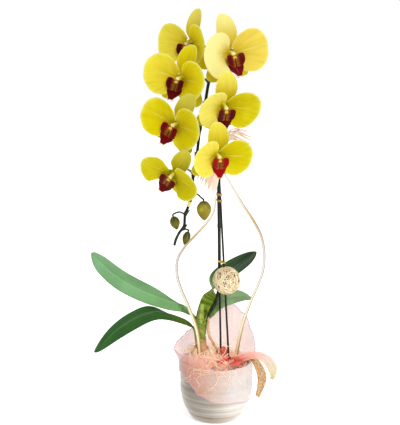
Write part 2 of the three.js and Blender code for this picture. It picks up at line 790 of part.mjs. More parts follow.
// The faces of an icosidodecahedron, as lists of unit vectors: a triangle in each face of an
// icosahedron and a five-sided face round each of its corners. Its edges are six great circles.
function ballFaces() {
  const icosahedron = new THREE.IcosahedronGeometry(1, 0).attributes.position;
  const faces = [];
  const corners = new Map();
  for (let i = 0; i < icosahedron.count; i += 3) {
    const face = [0, 1, 2].map((k) => new THREE.Vector3().fromBufferAttribute(icosahedron, i + k));
    const middles = face.map((corner, k) => corner.clone().add(face[(k + 1) % 3]).normalize());
    faces.push(middles);
    face.forEach((corner, k) => {
      const key = corner.toArray().map((value) => Math.round(value * 100)).join();
      const entry = corners.get(key) ?? { corner, edges: new Map() };
      entry.edges.set(middles[(k + 2) % 3], middles[k]);
      corners.set(key, entry);
    });
  }
  for (const { edges } of corners.values()) {
    const steps = [...edges].map(([to, from]) => ({ from, to }));
    const ring = [steps[0]];
    while (ring.length < steps.length) {
      const end = ring[ring.length - 1].from;
      ring.push(steps.find(({ to }) => to.distanceTo(end) < 1e-3));
    }
    faces.push(ring.map(({ to }) => to).reverse());
  }
  return faces;
}

// Six great-circle bands of split rattan woven into an open ball. Each face keeps an open middle.
function rattanBallSolid(passages) {
  const inner = BALL_RADIUS - BALL_SHELL;
  const points = [];
  const triangles = [];
  const quad = (...corners) => {
    const first = points.length;
    points.push(...corners);
    triangles.push(first, first + 1, first + 2, first, first + 2, first + 3);
  };
  for (const face of ballFaces()) {
    const middle = face.reduce((sum, corner) => sum.add(corner), vector(0, 0, 0)).normalize();
    const holes = face.map((corner) => middle.clone().lerp(corner, BALL_OPENNESS).normalize());
    face.forEach((corner, k) => {
      const after = (k + 1) % face.length;
      const at = (direction, radius) => direction.clone().multiplyScalar(radius).add(BALL_CENTRE);
      const [a, b, c, d] = [corner, face[after], holes[after], holes[k]];
      quad(at(a, BALL_RADIUS), at(b, BALL_RADIUS), at(c, BALL_RADIUS), at(d, BALL_RADIUS));
      quad(at(b, inner), at(a, inner), at(d, inner), at(c, inner));
      quad(at(d, BALL_RADIUS), at(c, BALL_RADIUS), at(c, inner), at(d, inner));
    });
  }
  return largestBody(cut(solidFrom(geometryFrom(points, triangles)), passages));
}

// ---------------------------------------------------------------- strips and ribbons

// A flat band along a curve. The direction across it is given by a function of the way along.
function bandAlong(points, halfWidthAt, acrossAt, steps, thickness, grow = 0) {
  const curve = new THREE.CatmullRomCurve3(lengthened(points, grow), false, 'centripetal');
  const pointAt = (u, v) => {
    const tangent = curve.getTangentAt(u);
    const across = acrossAt(u);
    across.addScaledVector(tangent, -across.dot(tangent)).normalize();
    return curve.getPointAt(u).addScaledVector(across, (2 * v - 1) * (halfWidthAt(u) + grow));
  };
  return sheet(steps, 1, thickness + 2 * grow, pointAt);
}

const STRIPS = [
  {
    name: 'cane_strip_left',
    points: [
      vector(-21, -17, 66), vector(-25, -19, 105), vector(-31, -21, 152), vector(-44, -26, 192),
      vector(-57, -28, 225), vector(-62.5, -28, 248), vector(-61, -27, 272), vector(-49, -25, 292),
      vector(-34, -22, 308), vector(-18, -19, 325), vector(-5, -16, 345), vector(-1.5, -12, 372),
    ],
    twist: [5, 30],
  },
  {
    name: 'cane_strip_right',
    points: [
      vector(28, -12, 66), vector(32.5, -12, 105), vector(42, -17, 158), vector(54, -20, 197),
      vector(66, -20, 226), vector(74, -20, 250), vector(76, -20, 275), vector(71, -20, 306),
      vector(58, -19, 332), vector(42, -18, 356), vector(26, -16, 382), vector(13, -12, 404),
    ],
    twist: [5, 30],
  },
];

function stripSolid({ points, twist }, grow = 0) {
  const acrossAt = (u) => {
    const turn = radians(twist[0] + twist[1] * Math.sin(Math.PI * u));
    return vector(Math.cos(turn), Math.sin(turn), 0.2);
  };
  return bandAlong(points, (u) => 3.2 - 1.4 * u, acrossAt, 19, STRIP_THICKNESS, grow);
}

const RIBBON_KNOT = vector(21, -15.5, 101);
const RIBBON_KNOT_RADIUS = 6.5;
const RIBBON_TAIL = [
  vector(23, -20, 101), vector(30, -34, 105), vector(45, -42, 115), vector(60, -45, 119.5),
  vector(75, -44, 115), vector(87, -42, 102), vector(90.5, -41, 87), vector(89, -41, 77),
];
const RIBBON_LOOPS = [
  [
    vector(20, -18, 102), vector(12, -32, 106), vector(6, -41, 110),
    vector(15, -44, 114), vector(25, -34, 111), vector(24, -18, 105),
  ],
  [
    vector(19, -12, 103), vector(10, -10, 111), vector(9, -12, 119),
    vector(18, -18, 122), vector(26, -20, 114), vector(24, -14, 105),
  ],
];

// The coral ribbon: a knot round the right stake, two short loops and one long tail.
function ribbonSolid(passages, grow = 0) {
  const tailHalf = (u) => 5.5 + 7 * Math.sin(Math.PI * (0.16 + 0.76 * u)) - 4.5 * smoothstep(u, 0.8, 1);
  const tailAcross = (u) => vector(-0.2 + 1.1 * u, -0.5, 0.85 - 0.75 * u);
  const tail = bandAlong(RIBBON_TAIL, tailHalf, tailAcross, 12, RIBBON_THICKNESS, grow);
  const loopAcross = (u) => vector(0.9, 0.5, 0.1 + 0.2 * u);
  const loops = RIBBON_LOOPS.map((loop) => (
    bandAlong(loop, () => 5.5, loopAcross, 8, RIBBON_THICKNESS, grow)
  ));
  const knot = ballSolid(RIBBON_KNOT, RIBBON_KNOT_RADIUS + grow, 7, 5);
  return cut(fuse([knot, tail, ...loops]), passages);
}

const GLITTER_PATH = [
  vector(38, -19, 88.5), vector(41, -21, 98), vector(49.5, -26.5, 110.5), vector(61, -31.15, 106.1),
  vector(71, -34.5, 92), vector(75.5, -36, 78), vector(73.5, -35, 61), vector(67.5, -33, 45),
];

// The glitter ribbon: one short tail that comes up from the tuft and falls outside the rim.
function glitterSolid(grow = 0) {
  const halfWidthAt = (u) => 3.2 + 4.2 * Math.sin(Math.PI * (0.06 + 0.88 * u));
  const acrossAt = () => vector(0.75, -0.62, 0.22);
  return bandAlong(GLITTER_PATH, halfWidthAt, acrossAt, 12, RIBBON_THICKNESS, grow);
}

// ---------------------------------------------------------------- sisal tuft and straw bow

// A repeatable stream of numbers from 0 to 1.
function randomStream(seed) {
  let state = seed;
  return () => {
    state = (state * 1664525 + 1013904223) % 4294967296;
    return state / 4294967296;
  };
}

const SISAL_STRANDS = 8;
const SISAL_STRAND_RADIUS = 1.15;

// Loose fibres that arch over one another round the plant, rooted in a thin mat on the bark.
function sisalSolid(passages) {
  const random = randomStream(11);
  const matHeight = MEDIUM_EDGE_HEIGHT + MEDIUM_MOUND + 1.5;
  const mat = latheSolid([
    [30, matHeight - 1], [50, matHeight - 1], [46, matHeight + 3.5], [30, matHeight - 1],
  ], POT_SIDES / 2);
  const strands = [];
  for (let i = 0; i < SISAL_STRANDS; i += 1) {
    const start = -205 + 25 * i + 12 * random();
    const sweep = (i % 2 ? -1 : 1) * (38 + 30 * random());
    const front = Math.max(0, Math.cos(radians(start + sweep / 2 + 100)));
    const rise = 13 + 26 * front * (0.5 + 0.5 * random());
    const near = 33 + 8 * random();
    const points = [0, 0.3, 0.7, 1].map((t) => {
      const angle = radians(start + sweep * t);
      const arch = Math.sin(Math.PI * t);
      const radius = near + 8 - 9 * arch * random();
      return vector(radius * Math.cos(angle), radius * Math.sin(angle), matHeight + 1 + rise * arch);
    });
    strands.push(tube(points, () => SISAL_STRAND_RADIUS, 3, 6));
  }
  return largestBody(cut(fuse([mat, ...strands]), passages));
}

const STRAW_KNOT = vector(4.5, 0, 442);
const STRAW_SPRAYS = [
  { count: 5, centre: vector(52, -20, 20), spread: vector(1, 4, 14), root: 9, width: 2.6 },
  { count: 5, centre: vector(-27, -41, -59), spread: vector(17, 3, -17), root: -8, width: 4.5 },
  { count: 3, centre: vector(-34, 10, 22), spread: vector(-4, 8, 14), root: 4, width: 3 },
];

// A bow of split straw: pointed blades that spray from a knot round the upright spike.
function strawBowSolid(passages) {
  const blades = [];
  for (const { count, centre, spread, root, width } of STRAW_SPRAYS) {
    for (let i = 0; i < count; i += 1) {
      const share = (2 * i) / (count - 1) - 1;
      const tip = STRAW_KNOT.clone().add(centre).addScaledVector(spread, share);
      const start = STRAW_KNOT.clone().add(vector(0, 0, root * share));
      const middle = start.clone().lerp(tip, 0.5).add(vector(0, -4, 4 - 3 * share));
      const halfWidthAt = (u) => 0.5 + width * Math.sin(Math.PI * (0.1 + 0.88 * u));
      const acrossAt = () => vector(0.3, -0.3, 1);
      blades.push(bandAlong([start, middle, tip], halfWidthAt, acrossAt, 3, BLADE));
    }
  }
  const knot = tube([vector(5, 0, 429), vector(5, 0, 455)], () => 8.2, 7, 2);
  return cut(fuse([knot, ...blades]), passages);
}

// ---------------------------------------------------------------- assembly

const stem = stemSolid();
const widerStem = stemSolid(CLEARANCE);
const widerSpike = spikeTube(CLEARANCE);
const widerStakes = STAKES.map((stake) => stakeSolid(stake, CLEARANCE));
const widerStrips = STRIPS.map((strip) => stripSolid(strip, CLEARANCE));
const widerRoots = ROOT_PATHS.map((path) => rootSolid(path, CLEARANCE));

addPiece('pot', potSolid(), glaze());
addPiece('growing_medium', mediumSolid([widerStem, ...widerStakes, ...widerRoots, ...widerStrips]), bark());
addPiece('organza_wrap', wrapSolid(), organza());

addPiece('stem', cut(stem, [widerSpike]), stemSkin());
ROOT_PATHS.forEach((path, i) => {
  addPiece(`root_${i + 1}`, largestBody(cut(rootSolid(path), [widerStem, widerSpike])), rootSkin());
});

for (const { name, skin, ...form } of LEAVES) {
  addPiece(name, largestBody(cut(leafSolid(form), [widerStem, widerSpike, ...widerRoots])), skin());
}

addPiece('flower_spike', spikeSolid(), spikeSkin());
for (const bloom of BLOOMS) {
  const group = bloomGroup(bloom);
  addPiece(`bloom_${bloom.name}`, bloomSolid(bloom), petalSkin(), group);
  addPiece(`lip_${bloom.name}`, lipSolid(bloom.size), lipSkin(), group);
  plant.add(group);
}
for (const bud of BUDS) {
  addPiece(bud.name, budSolid(bud), budSkin());
}

for (const stake of STAKES) {
  addPiece(stake.name, stakeSolid(stake), stakeCoat());
}
for (const tie of TIES) {
  addPiece(tie.name, tieSolid(tie), tie.skin());
}
for (const strip of STRIPS) {
  addPiece(strip.name, stripSolid(strip), cane());
}
addPiece('rattan_ball', rattanBallSolid(widerStakes), rattan());

const ribbonPassages = [widerStakes[0], widerRoots[0]];
addPiece('coral_ribbon', ribbonSolid(ribbonPassages), redOrganza());
addPiece('glitter_ribbon', glitterSolid(), glitter());
addPiece('straw_bow', strawBowSolid([widerSpike]), straw());

const tuftPassages = [
  widerStem,
  ...widerStakes,
  ...widerStrips,
  ...widerRoots,
  glitterSolid(CLEARANCE),
  ribbonSolid([], CLEARANCE),
];
addPiece('sisal_tuft', sisalSolid(tuftPassages), sisal());

export default plant;
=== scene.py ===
"""The looks of a potted moth orchid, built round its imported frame. Shapes are worked out in
the frame's axes in millimetres, and become metres as each mesh is made."""

import math

import bpy
import numpy as np
from numpy import cos, pi, sin
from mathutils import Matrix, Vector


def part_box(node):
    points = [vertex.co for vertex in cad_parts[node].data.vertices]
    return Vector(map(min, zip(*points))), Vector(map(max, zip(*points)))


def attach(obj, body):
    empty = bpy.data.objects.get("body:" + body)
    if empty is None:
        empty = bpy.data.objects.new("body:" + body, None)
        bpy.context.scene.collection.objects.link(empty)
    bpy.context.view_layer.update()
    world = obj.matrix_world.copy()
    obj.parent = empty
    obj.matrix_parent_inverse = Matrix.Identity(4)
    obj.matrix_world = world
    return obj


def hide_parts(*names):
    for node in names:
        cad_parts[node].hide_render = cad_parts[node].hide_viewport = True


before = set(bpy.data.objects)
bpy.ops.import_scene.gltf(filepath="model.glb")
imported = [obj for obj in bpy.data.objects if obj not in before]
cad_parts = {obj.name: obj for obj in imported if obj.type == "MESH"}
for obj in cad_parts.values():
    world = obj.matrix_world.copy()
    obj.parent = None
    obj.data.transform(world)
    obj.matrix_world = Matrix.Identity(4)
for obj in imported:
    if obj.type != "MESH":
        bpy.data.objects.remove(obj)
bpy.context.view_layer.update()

MM = 0.001
rng = np.random.default_rng(20)


# ---------------------------------------------------------------- shape helpers


def box_mm(node):
    """The lowest and highest corner of a CAD node, in millimetres."""
    low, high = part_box(node)
    return np.array(low) / MM, np.array(high) / MM


def lerp(a, b, t):
    return a + (b - a) * t


def smoothstep(x, low, high):
    t = np.clip((x - low) / (high - low), 0, 1)
    return t * t * (3 - 2 * t)


def hump(x, width, centre=0.0):
    """A bell of height 1 round a centre."""
    return np.exp(-(((x - centre) / width) ** 2))


def unit(vectors):
    return vectors / np.maximum(np.linalg.norm(vectors, axis=-1, keepdims=True), 1e-9)


def circle(count):
    """Angles spaced evenly round one turn."""
    return np.linspace(0, 2 * pi, count, endpoint=False)


def shares_of(count):
    """Shares from 0 to 1, spaced evenly."""
    return np.linspace(0, 1, count)


def grid(rows, columns):
    """Shares along and across a patch, each as an array of (rows + 1) by (columns + 1)."""
    shares = shares_of(rows + 1), shares_of(columns + 1)
    return np.meshgrid(*shares, indexing="ij")


def at_sides(across, start):
    """Rises to 1 at both sides of a patch."""
    return smoothstep(abs(2 * across - 1), start, 1.0)


def stacked(x, y, z):
    return np.stack(np.broadcast_arrays(x, y, z), axis=-1).astype(float)


def combined(*terms):
    """The sum of directions, each times a value for every place of a grid."""
    return sum(values[..., None] * direction for values, direction in terms)


def through(points, shares):
    """Places on the centripetal curve through the points, at shares of its stretches."""
    p = np.asarray(points, float)
    p = np.vstack([2 * p[0] - p[1], p, 2 * p[-1] - p[-2]])
    at = np.clip(np.asarray(shares, float), 0, 1) * (len(p) - 3)
    i = np.minimum(at.astype(int), len(p) - 4)
    w = (at - i)[..., None]
    a, b, c, d = p[i], p[i + 1], p[i + 2], p[i + 3]

    def root_gap(one, other):
        return np.maximum(np.linalg.norm(one - other, axis=-1, keepdims=True), 1e-9) ** 0.5

    ab, bc, cd = root_gap(a, b), root_gap(b, c), root_gap(c, d)
    start = ((b - a) / ab - (c - a) / (ab + bc) + (c - b) / bc) * bc
    end = ((c - b) / bc - (d - b) / (bc + cd) + (d - c) / cd) * bc
    square = (3 * c - 3 * b - 2 * start - end) * w**2
    cube = (2 * b - 2 * c + start + end) * w**3
    return b + start * w + square + cube


def evenly(points, count):
    """The same curve as a number of places spaced evenly along it."""
    fine = through(points, shares_of(40 * len(points)))
    run = np.concatenate([[0], np.cumsum(np.linalg.norm(np.diff(fine, axis=0), axis=1))])
    at = np.linspace(0, run[-1], count)
    return np.stack([np.interp(at, run, fine[:, k]) for k in range(3)], axis=1)


def rings_round(line, radius, turn, flatness=1.0):
    """Rings of points round a line, in a frame that turns as little as the line allows."""
    tangent = unit(np.gradient(line, axis=0))
    aside = np.eye(3)[np.argmin(abs(tangent[0]))]
    normals = []
    for direction in tangent:
        aside = unit(aside - direction * aside.dot(direction))
        normals.append(aside)
    normal = np.array(normals)
    binormal = np.cross(tangent, normal)[:, None]
    ring = combined((cos(turn), normal[:, None] * flatness), (sin(turn), binormal))
    return line[:, None] + radius[..., None] * ring


class Form:
    """Points, faces and painted values that end up as one mesh."""

    def __init__(self):
        self.points, self.faces, self.where, self.rim, self.parts = [], [], [], [], []
        self.count = 0

    def add(self, points, faces, where, rim, part=0):
        """where is a share along, a share across and a tone; rim is 1 at a piece's margin."""
        points = np.asarray(points, float).reshape(-1, 3)
        where = np.asarray(where, float).reshape(-1, 3)
        self.points.append(points)
        self.where.append(np.broadcast_to(where, points.shape))
        self.rim.append(np.broadcast_to(np.asarray(rim, float).ravel(), len(points)))
        for block in faces:
            self.faces += (np.asarray(block) + self.count).tolist()
            self.parts += [part] * len(block)
        self.count += len(points)

    def patch(self, surface, thickness, along, across, tone=0.5, rim=0.0):
        """A closed thin slab round a grid of points."""
        rows, columns = surface.shape[:2]
        total = rows * columns
        normal = unit(np.cross(np.gradient(surface, axis=1), np.gradient(surface, axis=0)))
        offset = normal * np.broadcast_to(thickness, (rows, columns))[..., None] / 2
        index = np.arange(total).reshape(rows, columns)
        a, b, c, d = index[:-1, :-1], index[:-1, 1:], index[1:, 1:], index[1:, :-1]
        faces = [
            np.stack([a, b, c, d], -1).reshape(-1, 4),
            np.stack([a, d, c, b], -1).reshape(-1, 4) + total,
        ]
        margins = [
            (index[:-1, 0], index[1:, 0]), (index[1:, -1], index[:-1, -1]),
            (index[0, 1:], index[0, :-1]), (index[-1, :-1], index[-1, 1:]),
        ]
        for first, second in margins:
            faces.append(np.stack([first, second, second + total, first + total], -1))
        where = stacked(along, across, tone)
        rim = np.broadcast_to(rim, along.shape)
        self.add([surface + offset, surface - offset], faces, [where, where], [rim, rim])

    def tube(self, line, radius, sides, tone=0.5, part=0, flatness=1.0, along=None):
        """A closed tube round a line. flatness below 1 makes its section an oval."""
        line = np.asarray(line, float)
        radius = np.broadcast_to(radius, (len(line),))[:, None]
        along = shares_of(len(line)) if along is None else along
        self.skin(rings_round(line, radius, circle(sides)[None], flatness), along, tone, part)

    def skin(self, rings, along, tone=0.5, part=0, rim=0.0):
        """Rings of points joined into a closed skin, with a face at each end."""
        count, sides = rings.shape[:2]
        index = np.arange(count * sides).reshape(count, sides)
        after = np.roll(index, -1, axis=1)
        wall = np.stack([index[:-1], after[:-1], after[1:], index[1:]], -1).reshape(-1, 4)
        turn = np.linspace(0, 1, sides, endpoint=False)[None]
        where = stacked(np.asarray(along)[:, None], turn, tone)
        faces = [wall, index[:1, ::-1], index[-1:]]
        self.add(rings, faces, where, np.broadcast_to(rim, (count, sides)), part)

    def build(self, name, slot, materials, replaces=(), sharp=50):
        """The finished object, riding on the plant's body."""
        mesh = bpy.data.meshes.new(name)
        mesh.from_pydata((np.concatenate(self.points) * MM).tolist(), [], self.faces)
        where = mesh.attributes.new("where", "FLOAT_VECTOR", "POINT")
        where.data.foreach_set("vector", np.concatenate(self.where).astype(np.float32).ravel())
        rim = mesh.attributes.new("rim", "FLOAT", "POINT")
        rim.data.foreach_set("value", np.concatenate(self.rim).astype(np.float32))
        for material in materials:
            mesh.materials.append(material)
        mesh.polygons.foreach_set("material_index", self.parts)
        mesh.polygons.foreach_set("use_smooth", [True] * len(self.faces))
        mesh.set_sharp_from_angle(angle=math.radians(sharp))
        mesh.update()
        piece = bpy.data.objects.new(name, mesh)
        bpy.context.scene.collection.objects.link(piece)
        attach(piece, "root")
        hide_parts(*replaces)
        return piece


# ---------------------------------------------------------------- material helpers


def paint(red, green, blue):
    """A colour from its 0 to 255 screen values."""
    def linear(value):
        value /= 255
        return value / 12.92 if value <= 0.04045 else ((value + 0.055) / 1.055) ** 2.4

    return (linear(red), linear(green), linear(blue), 1.0)


class Look:
    """A procedural material on one Principled shader, with its colour laid on in layers."""

    def __init__(self, name, **constants):
        self.material = bpy.data.materials.new(name)
        self.material.use_nodes = True
        self.tree = self.material.node_tree
        self.shader = self.tree.nodes["Principled BSDF"]
        for key, value in constants.items():
            self.shader.inputs[key.replace("_", " ")].default_value = value
        where = self.node("SeparateXYZ", {0: self.attribute("where", "Vector")})
        self.along, self.across, self.tone = where.outputs
        self.rim = self.attribute("rim", "Fac")
        self.colour = None

    def node(self, kind, inputs=None, **settings):
        made = self.tree.nodes.new("ShaderNode" + kind)
        for key, value in settings.items():
            setattr(made, key, value)
        for key, value in (inputs or {}).items():
            if isinstance(value, bpy.types.NodeSocket):
                self.tree.links.new(value, made.inputs[key])
            else:
                made.inputs[key].default_value = value
        return made

    def attribute(self, name, output):
        return self.node("Attribute", attribute_name=name).outputs[output]

    def place(self, stretch=(1, 1, 1)):
        """Object coordinates in metres, stretched along the axes."""
        source = self.node("TexCoord").outputs["Object"]
        return self.node("Mapping", {"Vector": source, "Scale": stretch}).outputs[0]

    def noise(self, place, scale, detail, roughness):
        inputs = {"Vector": place, "Scale": scale, "Detail": detail, "Roughness": roughness}
        return self.node("TexNoise", inputs).outputs["Fac"]

    def grain(self, scale, detail=3.0, roughness=0.55, stretch=(1, 1, 1)):
        """Noise through the whole body of a piece."""
        return self.noise(self.place(stretch), scale, detail, roughness)

    def streaks(self, along, across, detail=4.0, roughness=0.55):
        """Noise drawn out along a blade, and different from blade to blade."""
        scales = ((self.along, along), (self.across, across), (self.tone, 7.0))
        parts = [self.times(share, scale) for share, scale in scales]
        place = self.node("CombineXYZ", dict(enumerate(parts))).outputs[0]
        return self.noise(place, 1.0, detail, roughness)

    def cells(self, scale, output):
        return self.node("TexVoronoi", {"Vector": self.place(), "Scale": scale}).outputs[output]

    def maths(self, operation, a, b=0.0):
        return self.node("Math", {0: a, 1: b}, operation=operation).outputs[0]

    def times(self, a, b):
        return self.maths("MULTIPLY", a, b)

    def from_middle(self, share):
        """How far a share lies from its middle."""
        return self.maths("ABSOLUTE", self.maths("SUBTRACT", share, 0.5))

    def between(self, value, low, high):
        """0 at low, 1 at high, and smooth between them."""
        inputs = {0: value, 1: low, 2: high}
        return self.node("MapRange", inputs, interpolation_type="SMOOTHSTEP").outputs[0]

    def mix(self, share, a, b):
        return self.node("Mix", {0: share, 6: a, 7: b}, data_type="RGBA").outputs[2]

    def ramp(self, value, *stops):
        """A stop is a place with a red, green and blue up to 255, or with one plain level."""
        made = self.node("ValToRGB", {0: value})
        elements = made.color_ramp.elements
        while len(elements) < len(stops):
            elements.new(0.5)
        for element, (position, *tint) in zip(elements, stops):
            element.position = position
            element.color = paint(*tint) if len(tint) == 3 else (*tint * 3, 1.0)
        return made.outputs[0]

    def cover(self, mask, tint):
        """Lays a tint over the colour where the mask is 1."""
        self.colour = self.mix(mask, self.colour, paint(*tint))

    def wash(self, value, low, high, share, tint):
        """Lays a share of a tint over the colour, more and more from low to high."""
        washed = self.mix(share, self.colour, paint(*tint))
        self.colour = self.mix(self.between(value, low, high), self.colour, washed)

    def edge(self, share, tint):
        """Lays a share of a tint over the margin of the piece."""
        self.cover(self.times(self.rim, share), tint)

    def finish(self, relief, depth, strength=0.5, roughness=None):
        """Joins the colour, roughness and relief. depth is in millimetres."""
        self.tree.links.new(self.colour, self.shader.inputs["Base Color"])
        if roughness is not None:
            self.tree.links.new(roughness, self.shader.inputs["Roughness"])
        inputs = {"Height": relief, "Distance": depth * MM, "Strength": strength}
        bump = self.node("Bump", inputs).outputs[0]
        self.tree.links.new(bump, self.shader.inputs["Normal"])
        return self.material


# ---------------------------------------------------------------- materials


def petal_look():
    look = Look("petal_skin", Subsurface_Weight=0.2, Subsurface_Scale=0.004,
                Subsurface_Radius=(1.0, 0.8, 0.15), Specular_IOR_Level=0.04)
    veins = look.streaks(1.6, 26.0, 4.0, 0.6)
    look.colour = look.ramp(
        look.along, (0, 190, 184, 40), (0.14, 196, 172, 0), (0.5, 216, 194, 0),
        (0.85, 224, 206, 2), (1, 230, 218, 60),
    )
    look.wash(look.tone, 0.5, 1.0, 0.75, (210, 178, 62))
    # Below a tone of 0.5 the petals are washed a darker olive: painted shade, deepest on the blooms
    # turned away from the key light.
    look.wash(look.tone, 0.5, 0.0, 0.6, (146, 148, 0))
    look.wash(veins, 0.42, 0.72, 0.3, (160, 144, 0))
    look.wash(look.grain(38.0), 0.45, 0.75, 0.2, (236, 220, 60))
    middle = look.from_middle(look.across)
    inner = look.between(look.along, 0.92, 0.35)
    # Painted shade in a band along each petal's crease, with a thin painted highlight down its
    # middle.
    for wide, narrow, tint in ((0.16, 0.05, (176, 156, 0)), (0.03, 0.008, (240, 230, 110))):
        crease = look.times(look.between(middle, wide, narrow), inner)
        look.cover(look.times(crease, 0.3), tint)
    # The rim here is partly the real pale margin and partly the painted highlight wash of lit
    # petals.
    look.edge(0.85, (240, 236, 168))
    return look.finish(veins, 0.3, 0.55, look.ramp(veins, (0, 0.45), (1, 0.65)))


def column_look():
    look = Look("column_skin", Subsurface_Weight=0.3, Subsurface_Scale=0.003, Roughness=0.35)
    look.colour = look.ramp(look.along, (0, 206, 190, 40), (0.6, 226, 210, 96), (1, 240, 230, 160))
    dots = look.between(look.cells(900.0, "Distance"), 0.3, 0.16)
    look.cover(look.times(dots, look.between(look.along, 0.6, 0.2)), (170, 70, 40))
    return look.finish(look.grain(700.0), 0.08)


def lip_look():
    look = Look("lip_skin", Subsurface_Weight=0.05, Subsurface_Scale=0.002,
                Coat_Weight=0.04, Coat_Roughness=0.2, Specular_IOR_Level=0.06)
    veins = look.streaks(3.0, 22.0, 4.0, 0.6)
    darkening = look.between(look.along, 0.1, 0.9)
    look.colour = look.mix(darkening, paint(64, 0, 3), paint(104, 0, 6))
    look.wash(look.tone, 0.45, 1.0, 0.7, (176, 0, 8))
    look.cover(look.between(look.along, 0.34, 0.04), (150, 92, 22))
    look.wash(veins, 0.42, 0.62, 0.65, (40, 0, 2))
    look.edge(0.3, (190, 64, 48))
    return look.finish(veins, 0.3, 0.6, look.ramp(veins, (0.3, 0.34), (0.8, 0.55)))


def throat_look():
    look = Look("throat_skin", Subsurface_Weight=0.2, Subsurface_Scale=0.002, Roughness=0.35)
    look.colour = look.ramp(look.along, (0, 222, 170, 30), (1, 236, 196, 70))
    look.cover(look.between(look.cells(620.0, "Distance"), 0.42, 0.2), (140, 30, 16))
    return look.finish(look.grain(500.0), 0.15)


def bud_look():
    look = Look("bud_skin", Subsurface_Weight=0.1, Subsurface_Scale=0.003,
                Coat_Weight=0.04, Specular_IOR_Level=0.15)
    streak = look.streaks(2.0, 12.0)
    young = look.ramp(look.along, (0, 30, 40, 4), (0.6, 92, 94, 10), (1, 52, 52, 2))
    ripe = look.ramp(look.along, (0, 84, 80, 10), (0.4, 170, 154, 40), (1, 112, 94, 10))
    look.colour = look.mix(look.tone, young, ripe)
    look.wash(look.grain(90.0), 0.4, 0.7, 0.5, (70, 70, 10))
    look.wash(streak, 0.5, 0.75, 0.25, (206, 202, 90))
    return look.finish(streak, 0.2, 0.5, look.ramp(streak, (0.2, 0.32), (0.9, 0.5)))


def leaf_look(name, stops, edge, vein, gloss, ribbed):
    """stops run from the leaf's base to its tip. ribbed is how strong its cross ribs are."""
    look = Look(name, Coat_Weight=gloss, Coat_Roughness=0.3, Subsurface_Weight=0.05,
                Subsurface_Scale=0.003, Specular_IOR_Level=0.16)
    lines, cloud = look.streaks(1.2, 34.0, 3.0, 0.5), look.grain(26.0, 4.0)
    look.colour = look.ramp(look.along, *stops)
    look.wash(lines, 0.4, 0.75, 0.4, vein)
    look.wash(cloud, 0.4, 0.7, 0.25, edge)
    middle = look.from_middle(look.across)
    look.cover(look.times(look.between(middle, 0.03, 0.0), 0.5), vein)
    bars = look.maths("SINE", look.times(look.along, 150.0))
    at_base = look.between(look.along, 0.34, 0.16)
    look.cover(look.times(look.times(look.between(bars, -0.3, 0.9), at_base), ribbed), (44, 74, 10))
    look.edge(0.6, edge)
    return look.finish(lines, 0.2, 0.45, look.ramp(cloud, (0.2, 0.4), (0.9, 0.58)))


def stem_look():
    look = Look("stem_skin", Subsurface_Weight=0.06, Subsurface_Scale=0.003)
    fibre, cloud = look.streaks(6.0, 30.0), look.grain(120.0, 4.0)
    look.colour = look.ramp(
        look.along, (0, 170, 126, 86), (0.42, 218, 172, 122), (0.62, 164, 138, 62),
        (0.78, 160, 172, 66), (1, 148, 176, 60),
    )
    look.wash(cloud, 0.45, 0.7, 0.45, (92, 66, 34))
    look.wash(fibre, 0.5, 0.75, 0.35, (66, 70, 20))
    look.edge(0.6, (108, 74, 36))
    return look.finish(fibre, 0.4, 0.5, look.ramp(cloud, (0, 0.45), (1, 0.75)))


def root_look():
    look = Look("root_skin", Roughness=0.75)
    fibre = look.streaks(14.0, 5.0, 5.0)
    look.colour = look.ramp(look.grain(240.0, 4.0), (0.3, 150, 106, 70), (0.7, 206, 164, 118))
    look.cover(look.between(fibre, 0.4, 0.7), (224, 190, 150))
    return look.finish(fibre, 0.5)


def spike_look():
    look = Look("spike_skin", Coat_Weight=0.06, Coat_Roughness=0.3, Specular_IOR_Level=0.2)
    grain = look.grain(700.0, stretch=(1, 1, 0.15))
    dark = look.ramp(look.grain(70.0, 4.0), (0.3, 8, 14, 4), (0.55, 24, 38, 12), (0.8, 64, 84, 26))
    stalk = look.ramp(look.along, (0, 52, 66, 26), (0.6, 126, 132, 44), (1, 196, 190, 60))
    look.colour = look.mix(look.between(look.tone, 0.55, 0.95), dark, stalk)
    look.wash(grain, 0.5, 0.8, 0.3, (120, 128, 70))
    look.edge(0.7, (88, 70, 40))
    return look.finish(grain, 0.2, 0.5, look.ramp(grain, (0, 0.34), (1, 0.6)))


def glaze_look():
    """Grey bands under a gloss, with painted shade that makes the left side darker and warmer, and
    painted light that makes the right side paler.
    """
    look = Look("pot_glaze", Coat_Weight=0.45, Coat_Roughness=0.08, IOR=1.52)
    brushed = look.grain(1.0, 4.0, 0.6, (4, 4, 110))
    cloud = look.grain(1.0, stretch=(9, 9, 22))
    look.colour = look.ramp(
        brushed, (0.38, 112, 101, 84), (0.5, 172, 164, 150), (0.6, 218, 214, 208)
    )
    # Painted shade on the -X side and painted light on the +X side, laid on by object X.
    side = look.node("SeparateXYZ", {0: look.place()}).outputs[0]
    look.wash(side, 0.05, -0.05, 0.8, (104, 94, 78))
    look.wash(side, -0.01, 0.045, 0.5, (244, 241, 237))
    look.wash(cloud, 0.4, 0.7, 0.45, (168, 154, 132))
    specks = look.between(look.cells(260.0, "Distance"), 0.06, 0.03)
    look.cover(look.times(specks, 0.25), (140, 124, 104))
    return look.finish(brushed, 0.25, 0.4, look.ramp(cloud, (0.2, 0.2), (0.8, 0.34)))


def bark_look():
    look = Look("bark_skin", Roughness=0.9)
    fibre = look.grain(420.0, 5.0, stretch=(1, 1, 2))
    look.colour = look.ramp(look.tone, (0, 58, 36, 24), (0.5, 104, 68, 44), (1, 156, 112, 76))
    look.cover(look.between(fibre, 0.35, 0.7), (44, 28, 18))
    return look.finish(fibre, 0.6, 0.8)


